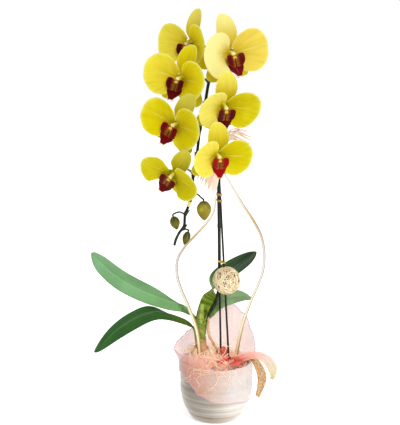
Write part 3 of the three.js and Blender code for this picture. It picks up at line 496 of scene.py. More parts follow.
def organza_look():
    # The emission is a painted glow that stands in for light coming through the sheer sheet.
    look = Look("organza_sheer", Alpha=0.42, Roughness=0.6, Specular_IOR_Level=0.2,
                Subsurface_Weight=0.35, Subsurface_Scale=0.004,
                Emission_Color=paint(255, 226, 224), Emission_Strength=0.05)
    crinkle = look.grain(340.0, 5.0, 0.65)
    look.colour = look.ramp(
        look.across, (0, 240, 206, 194), (0.06, 242, 232, 229), (0.24, 240, 228, 226),
        (0.4, 240, 204, 196), (0.52, 228, 194, 192), (0.66, 222, 190, 194), (0.78, 220, 190, 190),
        (0.86, 234, 152, 132), (0.93, 238, 166, 138), (1, 240, 208, 194),
    )
    look.wash(look.grain(24.0), 0.4, 0.7, 0.4, (246, 200, 196))
    look.wash(crinkle, 0.45, 0.7, 0.4, (255, 246, 242))
    look.cover(look.between(look.from_middle(look.along), 0.02, 0.0), (255, 222, 200))
    look.cover(look.rim, (222, 176, 208))
    return look.finish(crinkle, 0.3)


def ribbon_look():
    look = Look("coral_organza", Alpha=0.7, Roughness=0.5, Specular_IOR_Level=0.3,
                Subsurface_Weight=0.2, Subsurface_Scale=0.003)
    threads = look.streaks(3.0, 40.0)
    look.colour = look.ramp(
        look.along, (0, 240, 52, 54), (0.14, 242, 88, 78), (0.28, 250, 162, 146),
        (0.5, 252, 194, 182), (0.68, 250, 214, 196), (0.84, 232, 220, 190), (1, 226, 206, 120),
    )
    look.wash(threads, 0.45, 0.7, 0.35, (255, 222, 196))
    look.wash(look.grain(60.0), 0.55, 0.75, 0.25, (206, 60, 60))
    look.edge(0.6, (252, 232, 190))
    return look.finish(threads, 0.15)


def glitter_look():
    look = Look("gold_glitter", Metallic=0.35)
    flakes = look.cells(900.0, "Distance")
    shade = look.node("SeparateXYZ", {0: look.cells(900.0, "Color")}).outputs[0]
    look.colour = look.ramp(
        shade, (0, 120, 78, 34), (0.35, 196, 142, 76), (0.65, 226, 182, 124), (1, 255, 236, 200)
    )
    look.edge(0.5, (236, 190, 160))
    return look.finish(flakes, 0.4, 0.9, look.ramp(shade, (0, 0.5), (1, 0.15)))


def strip_look():
    """A strip with one half washed pale as a painted highlight and the other half in warm gold."""
    look = Look("cane_strip", Coat_Weight=0.2, Coat_Roughness=0.25)
    fibre = look.streaks(3.0, 9.0)
    gold = look.ramp(
        look.along, (0, 138, 100, 48), (0.3, 170, 134, 76), (0.5, 146, 136, 118),
        (0.6, 146, 146, 150), (0.76, 150, 116, 58), (0.88, 172, 156, 126), (1, 200, 197, 192),
    )
    # The pale half is a painted highlight along one side of the strip.
    pale = look.ramp(
        look.along, (0, 206, 178, 116), (0.25, 240, 228, 186), (0.55, 212, 211, 210),
        (0.64, 208, 202, 192), (0.76, 198, 168, 112), (0.88, 226, 216, 202), (1, 232, 230, 226),
    )
    look.colour = look.mix(look.between(look.across, 0.5, 0.8), pale, gold)
    look.wash(fibre, 0.45, 0.75, 0.35, (128, 98, 56))
    look.edge(0.5, (140, 126, 104))
    return look.finish(fibre, 0.15, 0.5, look.ramp(fibre, (0, 0.3), (1, 0.5)))


def toned_look(name, streaks, stops, masked, tint, relief, **constants):
    """A plain fibre, coloured by its own tone and streaked with a tint."""
    look = Look(name, Roughness=0.6, **constants)
    fibre = look.streaks(*streaks)
    look.colour = look.ramp(look.tone, *stops)
    look.cover(look.between(fibre, *masked), tint)
    return look.finish(fibre, relief)


def rattan_look():
    stops = (0, 214, 184, 132), (0.5, 240, 222, 180), (1, 252, 244, 220)
    return toned_look("rattan_skin", (8.0, 4.0), stops, (0.5, 0.8), (186, 146, 96), 0.2)


def straw_look():
    stops = (0, 228, 194, 170), (0.5, 236, 212, 194), (1, 244, 228, 214)
    return toned_look("straw_blade", (2.0, 20.0), stops, (0.5, 0.75), (214, 172, 142), 0.2)


def sisal_look():
    stops = (
        (0, 253, 240, 214), (0.4, 249, 216, 182), (0.65, 244, 178, 148), (0.85, 240, 138, 122),
        (1, 230, 84, 76),
    )
    # The emission is a painted glow that lightens the shade between the fibres.
    return toned_look(
        "sisal_fibre", (30.0, 3.0, 3.0), stops, (0.5, 0.8), (255, 240, 220), 0.1,
        Subsurface_Weight=0.1, Subsurface_Scale=0.001,
        Emission_Color=paint(255, 220, 200), Emission_Strength=0.13,
    )


def thread_look(name, low, high, noise, relief, **constants):
    """A thing of one material, with its colour and relief from one noise."""
    look = Look(name, **constants)
    thread = look.grain(**noise)
    look.colour = look.ramp(thread, low, high)
    return look.finish(thread, relief)


def hem_look():
    low, high = (0.3, 178, 122, 172), (0.7, 226, 184, 210)
    noise = dict(scale=500.0, detail=4.0)
    return thread_look("organza_hem", low, high, noise, 0.2, Alpha=0.85, Roughness=0.5)


def stake_look():
    low, high = (0.3, 6, 6, 7), (0.8, 30, 30, 32)
    noise = dict(scale=900.0, stretch=(1, 1, 0.1))
    return thread_look("stake_coat", low, high, noise, 0.15, Coat_Weight=0.1,
                       Coat_Roughness=0.15, Roughness=0.4, Specular_IOR_Level=0.15)


def tie_look(name, low, high):
    return thread_look(name, low, high, dict(scale=900.0), 0.15, Metallic=0.5, Roughness=0.35)


def floor_look():
    low, high = (0.3, 246, 245, 243), (0.7, 250, 249, 248)
    return thread_look("floor_paint", low, high, dict(scale=4.0, detail=2.0), 0.05,
                       Roughness=0.8, Specular_IOR_Level=0.2,
                       Emission_Color=(1, 1, 1, 1), Emission_Strength=0.55)


# ---------------------------------------------------------------- pot and growing medium

POT_RIM_RADIUS, _, POT_HEIGHT = box_mm("pot")[1]
POT_FOOT_RADIUS = 38
POT_SHOULDER_HEIGHT = 60
POT_WALL = 4
POT_FLOOR = 7
BARK_CHIPS = 230


def pot_radius(z):
    """The outer wall, with shallow throwing rings where the potter's fingers rested."""
    rise = np.clip(z / POT_SHOULDER_HEIGHT, 0, 1)
    belly = (1 - (1 - rise) ** 2.2) ** 0.8
    ring = sum(hump(z, 3, height) for height in (15, 40, 62))
    lean = 0.5 * np.clip((z - POT_SHOULDER_HEIGHT) / (POT_HEIGHT - POT_SHOULDER_HEIGHT), 0, 1)
    return lerp(POT_FOOT_RADIUS, POT_RIM_RADIUS - 0.5, belly) + lean - 0.6 * ring


def lathed(form, profile, sides, wobble=0.0):
    """A closed skin turned round the pot's axis from a list of radii and heights."""
    radius, height = np.asarray(profile, float).T
    turn = circle(sides)[None]
    radius = radius[:, None] + wobble * sin(3 * turn + 0.09 * height[:, None])
    rings = stacked(radius * cos(turn), radius * sin(turn), height[:, None])
    form.skin(rings, shares_of(len(profile)))


def make_pot():
    heights = [*np.linspace(1.2, POT_HEIGHT - 3, 70), POT_HEIGHT - 1.6]
    outside = [(pot_radius(z), z) for z in heights]
    bead = [
        (POT_RIM_RADIUS - POT_WALL / 2 + 2 * cos(a), POT_HEIGHT - 1.8 + 1.8 * sin(a))
        for a in np.linspace(0.1, pi - 0.1, 9)
    ]
    inside = [
        (pot_radius(z) - POT_WALL, z) for z in np.linspace(POT_HEIGHT - 4, POT_FLOOR + 2, 24)
    ]
    foot = [(0.5, 0), (POT_FOOT_RADIUS - 2.5, 0), (POT_FOOT_RADIUS - 0.9, 0.3)]
    floor = [(pot_radius(POT_FLOOR) - POT_WALL - 3, POT_FLOOR), (0.5, POT_FLOOR)]
    form = Form()
    lathed(form, foot + outside + bead + inside + floor, 144, wobble=0.08)
    form.build("pot_glazed", "glaze", [glaze_look()], ["pot"], sharp=60)


def bark_chip(centre, size):
    """A rough six-sided flake that lies nearly flat."""
    axis = unit(rng.normal(size=3) * (1, 1, 0.3))
    side = unit(np.cross(axis, [0, 0, 1]))
    over = np.cross(side, axis)
    turn = circle(6)[:, None]
    rings = []
    for share, swell in ((-1, 0.55), (-0.7, 0.9), (0.6, 1.0), (1, 0.6)):
        jag = rng.uniform(0.75, 1.1, 6)[:, None]
        ring = cos(turn) * side * 0.9 + sin(turn) * over * 0.45
        rings.append(centre + axis * share * size + ring * jag * size * swell * 0.6)
    return np.array(rings)


def make_medium():
    """A low mound of bark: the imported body, with loose chips on top."""
    low, high = box_mm("growing_medium")
    edge, top = high[0] - 1, high[2] - 6
    mound = [
        (0.5, low[2]), (40, low[2]), (48, 40), (edge, 60), (edge, top), (36, top + 2),
        (0.5, top + 3),
    ]
    form = Form()
    lathed(form, mound, 48)
    for _ in range(BARK_CHIPS):
        angle = rng.uniform(0, 2 * pi)
        spread = math.sqrt(rng.uniform(0.0, 1.0)) * (edge - 5)
        x, y = spread * cos(angle), spread * sin(angle)
        centre = np.array([x, y, top + rng.uniform(0.5, 3.5)])
        rings = bark_chip(centre, rng.uniform(2.0, 4.8))
        form.skin(rings, shares_of(4), rng.uniform(0.1, 1.0))
    form.build("bark_chips", "bark", [bark_look()], ["growing_medium"], sharp=30)


# ---------------------------------------------------------------- stem, roots and leaves

STEM_PATH = [
    (-20, -2, 62), (-22, -3, 95), (-25, -4, 130), (-26, -3, 155), (-25, -1, 174), (-22, 2, 190),
]
SHEATHS = 7
ROOT_PATHS = [
    [(-12, -1, 168), (-13, -9, 150), (-8, -13, 134), (3, -16, 118), (11, -20, 100), (13, -22, 74)],
    [(-29, -8, 126), (-36, -14, 118), (-41, -17, 102), (-42, -18, 76)],
    [(-20, 5, 122), (-14, 13, 112), (-10, 18, 98), (-9, 20, 74)],
]


def make_stem():
    """The short stem, wrapped in old leaf sheaths that each flare and overlap the one above."""
    count, sides = 150, 40
    share = shares_of(count)
    belly = 6.5 + 2.6 * sin(pi * np.clip(share * 1.1, 0, 1)) - 3.5 * share**6
    step = (share * SHEATHS)[:, None]
    turn = circle(sides)[None]
    level = step + 0.28 * cos(turn + np.floor(step) * pi)
    within = level - np.floor(level)
    flare = 0.9 * within**1.6 - 0.3
    ribs = 0.22 * sin(level * 38) * smoothstep(share, 0.35, 0.6)[:, None]
    radius = belly[:, None] + flare + ribs + 0.25 * sin(5 * turn + 3 * step)
    rings = rings_round(evenly(STEM_PATH, count), radius, turn)
    form = Form()
    form.skin(rings, share, rim=smoothstep(within, 0.86, 0.97))
    form.build("stem_sheaths", "stem_skin", [stem_look()], ["stem"], sharp=70)


def make_roots():
    look = root_look()
    share = shares_of(90)
    wander = 0.35 * np.stack([sin(37 * share), cos(29 * share), sin(23 * share)], 1)
    radius = (2.25 - 0.3 * share + 0.22 * sin(61 * share)) * smoothstep(share, -0.02, 0.02)
    for number, path in enumerate(ROOT_PATHS, 1):
        form = Form()
        form.tube(evenly(path, 90) + wander, np.maximum(radius, 0.2), 14)
        form.build(f"aerial_root_{number}", "root_skin", [look], [f"root_{number}"])


LEAF_BASE = (0, 124, 148, 24)
LEAVES = {
    "leaf_upper_left": dict(
        spine=[(-28, -4, 170), (-52, -9, 189), (-78, -15, 199), (-112, -23, 215),
               (-150, -32, 238), (-180, -39, 265), (-196, -42, 284)],
        half=20, neck=0.4, base_across=(0.1, -1, -0.35), tip_across=(-0.25, -0.9, -0.6),
        fold=(42, 7), fold_from=0, slot="leaf_pale",
        look=dict(
            name="leaf_skin_pale", edge=(64, 108, 62), vein=(140, 190, 132), gloss=0.05, ribbed=0.3,
            stops=[LEAF_BASE, (0.1, 92, 128, 40), (0.22, 112, 160, 98), (0.7, 120, 168, 118),
                   (1, 118, 162, 122)],
        ),
    ),
    "leaf_lower_left": dict(
        spine=[(-30, -7, 152.5), (-52, -18, 169), (-80, -32, 183), (-104, -42, 188),
               (-132, -51, 178), (-160, -60, 160), (-190, -68, 131)],
        half=17.5, neck=0.36, base_across=(0.2, -1, -0.1), tip_across=(0.4, -0.8, -0.5),
        fold=(40, 9), fold_from=0, slot="leaf_dark",
        look=dict(
            name="leaf_skin_dark", edge=(18, 48, 16), vein=(92, 138, 62), gloss=0.15, ribbed=0.3,
            stops=[LEAF_BASE, (0.14, 84, 98, 16), (0.3, 38, 78, 18), (0.6, 30, 82, 24),
                   (1, 42, 92, 42)],
        ),
    ),
    "leaf_upper_right": dict(
        spine=[(-23.5, 5, 173), (-17, 18, 195), (-4, 27, 212), (11, 36, 227),
               (31, 46, 239), (51, 58, 250), (68, 70, 262)],
        half=18, neck=0.85, base_across=(-0.9, -0.45, 0), tip_across=(0.62, -0.75, -0.45),
        fold=(-45, 22), fold_from=0.2, slot="leaf_dark",
        look=dict(
            name="leaf_skin_young", edge=(22, 50, 26), vein=(130, 170, 96), gloss=0.1, ribbed=0.6,
            stops=[LEAF_BASE, (0.2, 164, 190, 62), (0.36, 128, 166, 76), (0.5, 30, 62, 32),
                   (1, 10, 36, 20)],
        ),
    ),
    "leaf_lower_right": dict(
        spine=[(-13, 12, 157), (-8.5, 15, 174), (4, 19, 186), (20.5, 29, 191), (42, 45, 191),
               (63, 57, 184)],
        half=15.5, neck=0.85, base_across=(0.75, -0.5, -0.45), tip_across=(0.35, -0.8, -0.5),
        fold=(36, 18), fold_from=0, slot="leaf_pale",
        look=dict(
            name="leaf_skin_soft", edge=(40, 76, 38), vein=(156, 192, 142), gloss=0.08, ribbed=0.2,
            stops=[LEAF_BASE, (0.12, 140, 170, 70), (0.45, 146, 176, 124), (1, 124, 158, 114)],
        ),
    ),
}
LEAF_ROWS, LEAF_COLUMNS, SHEATH_ROWS = 120, 32, 18
LEAF_SHOULDER = 0.62  # the share of a leaf's length where it starts to narrow


def strap_outline(u, neck):
    """Width along a strap leaf, as a share of the widest place."""
    swell = lerp(neck, 1, smoothstep(u, 0, 0.5))
    past = np.clip((u - LEAF_SHOULDER) / (1 - LEAF_SHOULDER), 0, 1)
    return np.maximum(0.03, swell * (1 - past**2.3) ** 0.62)


def sheath_surface(v, start, toward):
    """The foot of a leaf, which wraps the stem below the place where its blade leaves."""
    rows = len(v)
    line = evenly(STEM_PATH, 200)
    level = start[2] + np.linspace(-15, 4, rows)
    centre = stacked(*(np.interp(level, line[:, 2], line[:, k]) for k in range(2)), level)
    out = unit((np.array(toward) - start) * (1, 1, 0))
    aside = np.cross(out, [0, 0, 1.0])
    turn = np.radians(118) * v
    radius = 8.6 + 1.2 * shares_of(rows)[:, None]
    reach = combined((radius * cos(turn), out), (-radius * sin(turn), aside))
    return centre[:, None] + reach - np.array([0, 0, 5.0]) * (abs(v) ** 2)[..., None]


def make_leaf(name, spine, half, neck, base_across, tip_across, fold, fold_from, slot, look):
    """A strap leaf: a sheath round the stem that opens into a folded, grooved blade."""
    along, across = grid(LEAF_ROWS, LEAF_COLUMNS)
    along = 1 - (1 - along) ** 1.25
    shares = along[:, 0]
    centre = through(spine, shares)
    tangent = unit(np.gradient(centre, axis=0))
    opening = smoothstep(shares, 0.1, 0.6)[:, None]
    side = lerp(np.array(base_across, float), np.array(tip_across, float), opening)
    side = unit(side - tangent * np.sum(side * tangent, 1, keepdims=True))
    up = np.cross(side, tangent)
    keel = np.radians(lerp(*fold, smoothstep(shares, fold_from, 0.45)))[:, None]
    v = 2 * across - 1
    wave = 0.022 * sin(9 * along + 2.2 * np.sign(v)) * abs(v) ** 1.5
    reach = v * half * strap_outline(along, neck) * (1 + wave)
    curl = -0.10 * half * abs(v) ** 2.6 * smoothstep(along, 0.15, 0.6)
    groove = -0.8 * hump(reach, 1.5) * smoothstep(along, 1.0, 0.86)
    ribs = 0.1 * cos(v * 34) * smoothstep(along, 1.0, 0.8)
    cross_ribs = 0.35 * sin(150 * along) * abs(v) ** 0.7 * smoothstep(along, 0.3, 0.12)
    ripple = 0.8 * sin(7 * along + 1.5 * v) * abs(v) ** 2 * smoothstep(along, 0.2, 0.5)
    lift = abs(reach) * sin(keel) + curl + groove + ribs + ripple + cross_ribs
    blade = combined((reach * cos(keel), side[:, None]), (lift, up[:, None]))
    surface = centre[:, None] + blade
    sheath = sheath_surface(v[:SHEATH_ROWS], np.array(spine[0], float), spine[2])
    opening = smoothstep(shares_of(SHEATH_ROWS), 0.1, 1.0)[:, None, None]
    surface[:SHEATH_ROWS] = lerp(sheath, surface[:SHEATH_ROWS], opening)
    midrib = 1.7 - 0.9 * abs(v) ** 3 + 0.9 * hump(reach, 2.5)
    thick = np.maximum(midrib * smoothstep(along, 1.02, 0.85), 0.5)
    form = Form()
    form.patch(surface, thick, along, across, rim=at_sides(across, 0.93))
    form.build(name + "_blade", slot, [leaf_look(**look)], [name], sharp=60)


# ---------------------------------------------------------------- blooms

BLOOM_FIELDS = ("place", "turn", "size", "node", "tone", "pale")
# In each row, a tone below 0.5 paints shade on the bloom's tepals, and the pale values paint a
# cream highlight on its left petal, right petal and top sepal.
BLOOM_ROWS = {
    "left_1": ((-38, -56, 606), (-47, -5, 4), 1.02, 590, 0.52, (0.15, 0, 0.35)),
    "right_1": ((16, -68, 592), (34, -4, -9), 1.09, 572, 0.9, (0.8, 0.15, 0.65)),
    "left_2": ((-52, -100, 556.5), (-32, -6, 12), 1.02, 548, 0.5, (0.1, 0, 0)),
    "right_2": ((7, -112, 519), (30, 18, 2), 0.98, 514, 0.5, (0.3, 0, 0.25)),
    "left_3": ((-59, -136, 493), (-32, -3, 26), 0.97, 482, 0.3, (0, 0, 0.2)),
    "right_3": ((-3, -138, 450), (31, 10, 1), 0.93, 442, 0.46, (0.2, 0, 0.15)),
    "left_4": ((-63.5, -156, 425.5), (-29, 22, 40), 0.87, 415, 0.12, (0, 0, 0.1)),
}
BLOOMS = {name: dict(zip(BLOOM_FIELDS, row)) for name, row in BLOOM_ROWS.items()}
PETALS = {  # angle, breadth and length of the left and the right petal
    "left_1": ((-94, 0.95, 0.97), (92, 1, 1)),
    "right_1": ((-91, 1, 1.08), (90, 1, 1)),
    "left_3": ((-90, 1, 1), (76, 1, 1.06)),
    "left_4": ((-92, 0.66, 1), (66, 0.8, 1.05)),
}
LEVEL_PETALS = ((-90, 1, 1), (90, 1, 1))
# The right petals of these blooms take a lower tone, which paints shade on them.
RIGHT_PETAL_SHADE_TONES = {"right_2": 0.18, "right_3": 0.18}
TOP_SEPALS = {  # angle, length and width
    "left_1": (-4, 52, 30), "right_1": (6, 54, 34), "right_2": (0, 50, 38), "right_3": (0, 50, 39),
}
PLAIN_TOP_SEPAL = (0, 50, 31)
LOWER_SEPALS = [(131, 46, 29), (-131, 46, 29)]
LIP_TONES = {"right_3": 1.0, "left_4": 0.5, "left_3": 0.65, "right_1": 0.6}
PLAIN_LIP_TONE = 0.35
HUB_RADIUS = 4.6
PETAL_LENGTH = 52
SEPAL_GRID, PETAL_GRID, COLLAR_GRID = (40, 22), (44, 60), (6, 36)  # rows and columns
MIDDLE_LOBE_GRID, SIDE_LOBE_GRID = (34, 22), (24, 20)
FORWARD = np.array([0.0, -1.0, 0.0])


def rotation(axis, angle):
    """A turn about one of the frame's axes."""
    a, b = (axis + 1) % 3, (axis + 2) % 3
    matrix = np.eye(3)
    matrix[a, a] = matrix[b, b] = cos(angle)
    matrix[b, a] = sin(angle)
    matrix[a, b] = -matrix[b, a]
    return matrix


def turned(points, bloom):
    """Points of a bloom that faces -Y, turned by its yaw, pitch and roll and set in its place."""
    yaw, pitch, roll = (math.radians(angle) for angle in bloom["turn"])
    turn = rotation(2, yaw) @ rotation(0, pitch) @ rotation(1, roll)
    return np.asarray(points, float) * bloom["size"] @ turn.T + np.array(bloom["place"], float)


def tepal_axes(angle):
    """Directions in the plane of a bloom: outwards at an angle from up, and across that."""
    a = math.radians(angle)
    return np.array([sin(a), 0, cos(a)]), np.array([cos(a), 0, -sin(a)])


def sepal_surface(angle, length, width, phase):
    along, across = grid(*SEPAL_GRID)
    out, side_axis = tepal_axes(angle)
    t = sin(along * pi * 0.47) ** 1.1
    oval = np.sqrt(np.maximum(0.004, 1 - ((t - 0.52) / 0.49) ** 2))
    waist = lerp(oval, np.minimum(oval, 0.2 + 2.2 * t), 1 - smoothstep(t, 0.1, 0.4))
    half = (width / 2) * np.maximum(waist, 0.4 * (1 - smoothstep(t, 0, 0.3)))
    v = 2 * across - 1
    side = v * half
    forward = 3 * t - 9 * t * t + 0.012 * side * side - 2
    forward = forward - 0.7 * hump(side, 1.1) * (1 - t) + 0.5 * sin(6 * t + phase) * v**2
    surface = combined((forward, FORWARD), (2 + (length - 2) * t, out), (side, side_axis))
    rim = np.maximum(at_sides(across, 0.86), smoothstep(t, 0.95, 1.0))
    return surface, t, across, rim


def petal_surface(angle, breadth, length, phase):
    """A broad petal, cupped forwards, with a crease along it and a gently waved margin."""
    along, across = grid(*PETAL_GRID)
    hand = math.copysign(1, angle)
    out, side_axis = tepal_axes(angle)
    t = lerp(0.03, 1, along**0.9)
    opening = lerp(0.3, 1, smoothstep(t, 0, 0.42))
    fan = hand * breadth * np.radians(lerp(-80, 74, across)) * opening
    reach = PETAL_LENGTH * length * cos(fan) ** 0.72
    far = reach * t / PETAL_LENGTH
    side = reach * t * sin(fan)
    forward = 33 * far - 11 * far**2 + 2 * (1 - cos(fan)) * far + 0.6 - 0.08 * hand * side * t
    crease = 0.05 * abs(side) * smoothstep(t, 0.1, 0.5) - 1.2 * hump(side, 2.2) * (1 - t**2) * t
    v = 2 * across - 1
    wave = 0.9 * sin(5.5 * v + phase) * smoothstep(t, 0.55, 1.0)
    frill = 0.35 * sin(17 * v + 2 * phase) * smoothstep(t, 0.75, 1.0)
    forward = forward + crease + wave + frill + 0.05 * cos(v * 60) * (1 - t)
    surface = combined((forward, FORWARD), (reach * t * cos(fan) + 0.5, out), (side, side_axis))
    rim = np.maximum(smoothstep(t, 0.93, 1.0), at_sides(across, 0.93) * smoothstep(t, 0.25, 0.5))
    return surface, t, across, rim


def collar_surface():
    """The shallow cup where the claws of petals and sepals grow together behind the column."""
    along, across = grid(*COLLAR_GRID)
    turn = across * 2 * pi
    radius = lerp(0.6, 9.0, along) * (1 + 0.08 * cos(5 * turn))
    return stacked(radius * sin(turn), 0.6 - 0.24 * radius, radius * cos(turn)), along


def make_bloom(name, bloom, looks):
    """Three sepals, two petals, hub and column."""
    phase = rng.uniform(0, 2 * pi)
    size, tone = bloom["size"], bloom["tone"]
    # The pale values are a painted highlight: a cream wash over the petals and top sepal that catch
    # the key light.
    *petal_highlight_washes, top_highlight_wash = bloom["pale"]  # how far they are washed with cream
    form = Form()

    def add_tepal(surface, t, across, rim, thickness, tepal_tone, wash):
        thick = np.maximum(size * thickness * smoothstep(rim, 1.6, 0.2), 0.3)
        # The rim value also carries the painted highlight wash, so the cream edge tint spreads over
        # it.
        rim = np.maximum(0.6 * rim, wash)
        form.patch(turned(surface, bloom), thick, t, across, tepal_tone, rim)

    for angle, length, width in [TOP_SEPALS.get(name, PLAIN_TOP_SEPAL), *LOWER_SEPALS]:
        surface, t, across, rim = sepal_surface(angle, length, width, phase + angle)
        thickness = 0.75 + 0.5 * hump(2 * across - 1, 0.15) * (1 - t)
        on_top = abs(angle) < 90
        wash = top_highlight_wash * on_top * smoothstep(t, 0.15, 0.9)
        add_tepal(surface, t, across, rim, thickness, tone - (0.12 if on_top else 0.25), wash)
    for (angle, breadth, length), wash in zip(PETALS.get(name, LEVEL_PETALS), petal_highlight_washes):
        surface, t, across, rim = petal_surface(angle, breadth, length, phase + angle)
        thickness = 0.8 + 0.5 * (1 - t) * smoothstep(t, 0.3, 0.0)
        petal_tone = RIGHT_PETAL_SHADE_TONES.get(name, tone) if angle > 0 else tone
        wash = wash * smoothstep(t, 0.1, 0.7)
        add_tepal(surface, t, across, rim, thickness, petal_tone, wash)
    collar, along = collar_surface()
    form.patch(turned(collar, bloom), 0.5 * size, 0.1 * along, 0.2, tone - 0.1)
    turn = np.linspace(-pi / 2, pi / 2, 13)
    hub = stacked(0, -HUB_RADIUS * sin(turn), 0)
    form.tube(turned(hub, bloom), np.maximum(HUB_RADIUS * size * cos(turn), 0.1), 20, tone - 0.2)
    column = evenly([(0, 0, 0), (0, -6, 1), (0, -11, -1.5), (0, -12.6, -2.8)], 26)
    share = shares_of(26)
    swell = (2.6 + 0.9 * share**2 + 0.5 * hump(share, 0.08, 0.86)) * smoothstep(share, 1.04, 0.84)
    form.tube(turned(column, bloom), np.maximum(swell * size, 0.15), 20, tone, 1)
    form.build(f"bloom_{name}_tepals", "petal", looks, [f"bloom_{name}"], sharp=60)


def middle_lobe():
    along, across = grid(*MIDDLE_LOBE_GRID)
    v = 2 * across - 1
    taper = lerp(1, 0.34, smoothstep(along, 0.4, 1) ** 1.3)
    half = lerp(5, 12.5, smoothstep(along, 0, 0.3)) * taper
    curl = 1.3 * sin(along * pi) * abs(v) ** 2
    y = -9.5 - 9 * along - 1.5 * abs(v) * (1 - along) + curl - 1.2 * hump(v, 0.16) * along
    surface = stacked(v * half, y, -8.5 - 22.5 * along)
    rim = np.maximum(at_sides(across, 0.84), smoothstep(along, 0.96, 1.0))
    return surface, along, across, rim


def side_lobe(hand):
    along, across = grid(*SIDE_LOBE_GRID)
    v = 2 * across - 1
    rise = v * (8 * sin(pi * (0.3 + 0.62 * along)) + 0.5)
    out = 1 + 13.5 * sin(1.5 * along)
    cup = 0.8 * sin(across * pi) * sin(along * pi)
    y = -13.1 - 4.5 * along + 1.5 * along**2 + 0.1 * rise - cup
    surface = stacked(hand * out, y, -11.4 + 5 * along + rise)
    rim = np.maximum(at_sides(across, 0.82), smoothstep(along, 0.92, 1.0))
    return surface, along, across, rim


def make_lip(name, bloom, looks):
    """Middle lobe, side lobes and neck, with two throat bumps and two tendrils."""
    size, tone = bloom["size"], LIP_TONES.get(name, PLAIN_LIP_TONE)
    form = Form()
    for surface, along, across, rim in (middle_lobe(), side_lobe(1), side_lobe(-1)):
        thick = np.maximum(size * (1.1 - 0.6 * rim), 0.35)
        form.patch(turned(surface, bloom), thick, along, across, tone, rim)
    neck = evenly([(0, -2.75, -4.2), (0, -6.5, -7.6), (0, -11.5, -9.4)], 18)
    form.tube(turned(neck, bloom), (1.9 + 1.1 * shares_of(18)) * size, 16, tone, 1)
    for hand in (1, -1):
        over = [(hand * 0.9, -9.6, -6.6), (hand * 1.4, -12.4, -5.6), (hand * 1.5, -14.4, -7.4)]
        swell = 1.7 * sin(np.linspace(0.12, pi - 0.12, 14)) ** 0.6
        form.tube(turned(evenly(over, 14), bloom), swell * size, 14, 0.5, 1)
        tip = [(0.9, -18.2, -30.4), (3.4, -19.4, -32.8), (5.4, -17.2, -31.4), (5, -14.6, -29)]
        tendril = evenly([(hand * x, y, z) for x, y, z in tip], 22)
        radius = lerp(0.62, 0.22, shares_of(22))
        form.tube(turned(tendril, bloom), radius * size, 8, 0.5, 2)
    form.build(f"lip_{name}_lobes", "lip", looks, [f"lip_{name}"], sharp=60)


def make_blooms():
    petal, column, lip, throat = petal_look(), column_look(), lip_look(), throat_look()
    for name, bloom in BLOOMS.items():
        make_bloom(name, bloom, [petal, column])
        make_lip(name, bloom, [lip, throat, column])


# ---------------------------------------------------------------- spike and buds

SPIKE_PATH = [
    (-21, 0, 160), (-13, 4, 172), (-4, 8, 184), (3, 10, 204), (5, 11, 232), (5, 8.5, 300),
    (4, 6, 366), (5, 5, 430), (6, 2, 500), (7, -1, 548), (7.5, -7, 583), (5.5, -19, 600),
    (0.5, -31, 594), (-7, -43, 572), (-14, -55, 544), (-19, -68, 514), (-26, -80, 482),
    (-31, -93, 442), (-36, -100, 416), (-37, -105, 387), (-42, -107, 373), (-48, -109, 357),
    (-50, -110, 339), (-56, -111, 332), (-62, -112, 320), (-64, -112, 312),
]
SPIKE_RADII = (2.7, 2.0)
SPIKE_LINE = evenly(SPIKE_PATH, 420)
SPIKE_TOP = int(np.argmax(SPIKE_LINE[:, 2]))
BRACT_GRID = (14, 12)
UPRIGHT_NODES = (214, 318, 408, 476)  # heights on the rising part of the spike
COLLAR_HEIGHTS = (514, 482, 442, 415, 387, 359, 338)  # and on its hanging part
BUDS = {
    "bud_right": dict(
        stalk=[(-37, -105, 386), (-31, -107, 388.5), (-24, -108.5, 383), (-20.8, -109, 378)],
        tip=(-19.5, -110, 349), radius=10.5, tone=1.0,
    ),
    "bud_left": dict(
        stalk=[(-48, -109, 358), (-56, -111, 362), (-64, -113, 360), (-65.5, -113, 355.5)],
        tip=(-60, -113, 336), radius=6.8, tone=0.15,
    ),
    "bud_tip": dict(
        stalk=[(-50, -110, 337), (-46, -111.5, 336), (-43.6, -112, 332.5)],
        tip=(-49.5, -112.5, 313), radius=5.4, tone=0.0,
    ),
}


def at_height(line, height):
    return line[int(np.argmin(abs(line[:, 2] - height)))]


def spike_at(height):
    """The place on the hanging part of the spike that lies at a given height."""
    return at_height(SPIKE_LINE[SPIKE_TOP:], height)


def add_bract(form, height):
    """A small pointed scale that clasps the spike under a stalk."""
    centre, above = spike_at(height), spike_at(height + 5)
    hand = 1 if centre[0] > -35 else -1
    axis = unit(above - centre)
    aside = unit(np.cross(axis, [0, 1, 0])) * hand
    along, across = grid(*BRACT_GRID)
    angle = (across - 0.5) * pi * 1.5 * lerp(1, 0.15, along**1.5)
    radius = 2.5 + 1.7 * along
    around = combined((cos(angle), aside), (sin(angle), np.cross(axis, aside)))
    surface = centre + combined((-3 + 10.5 * along, axis), (radius, around))
    form.patch(surface, 0.5, along, across, 0.3, smoothstep(along, 0.7, 1.0))


def add_flower_stalk(form, bloom):
    start = spike_at(bloom["node"])
    seat = HUB_RADIUS + 0.35 / bloom["size"]
    end, behind = turned([(0, seat, 0), (0, seat + 14, 0)], bloom)
    out = unit((end - start) * (1, 1, 0))
    line = evenly([start, start + out * 10 + (0, 0, 7), behind, end], 44)
    grow = shares_of(44)
    form.tube(line, 1.6 + 0.7 * grow**4 + 0.3 * np.exp(-grow * 12), 14, 1.0)


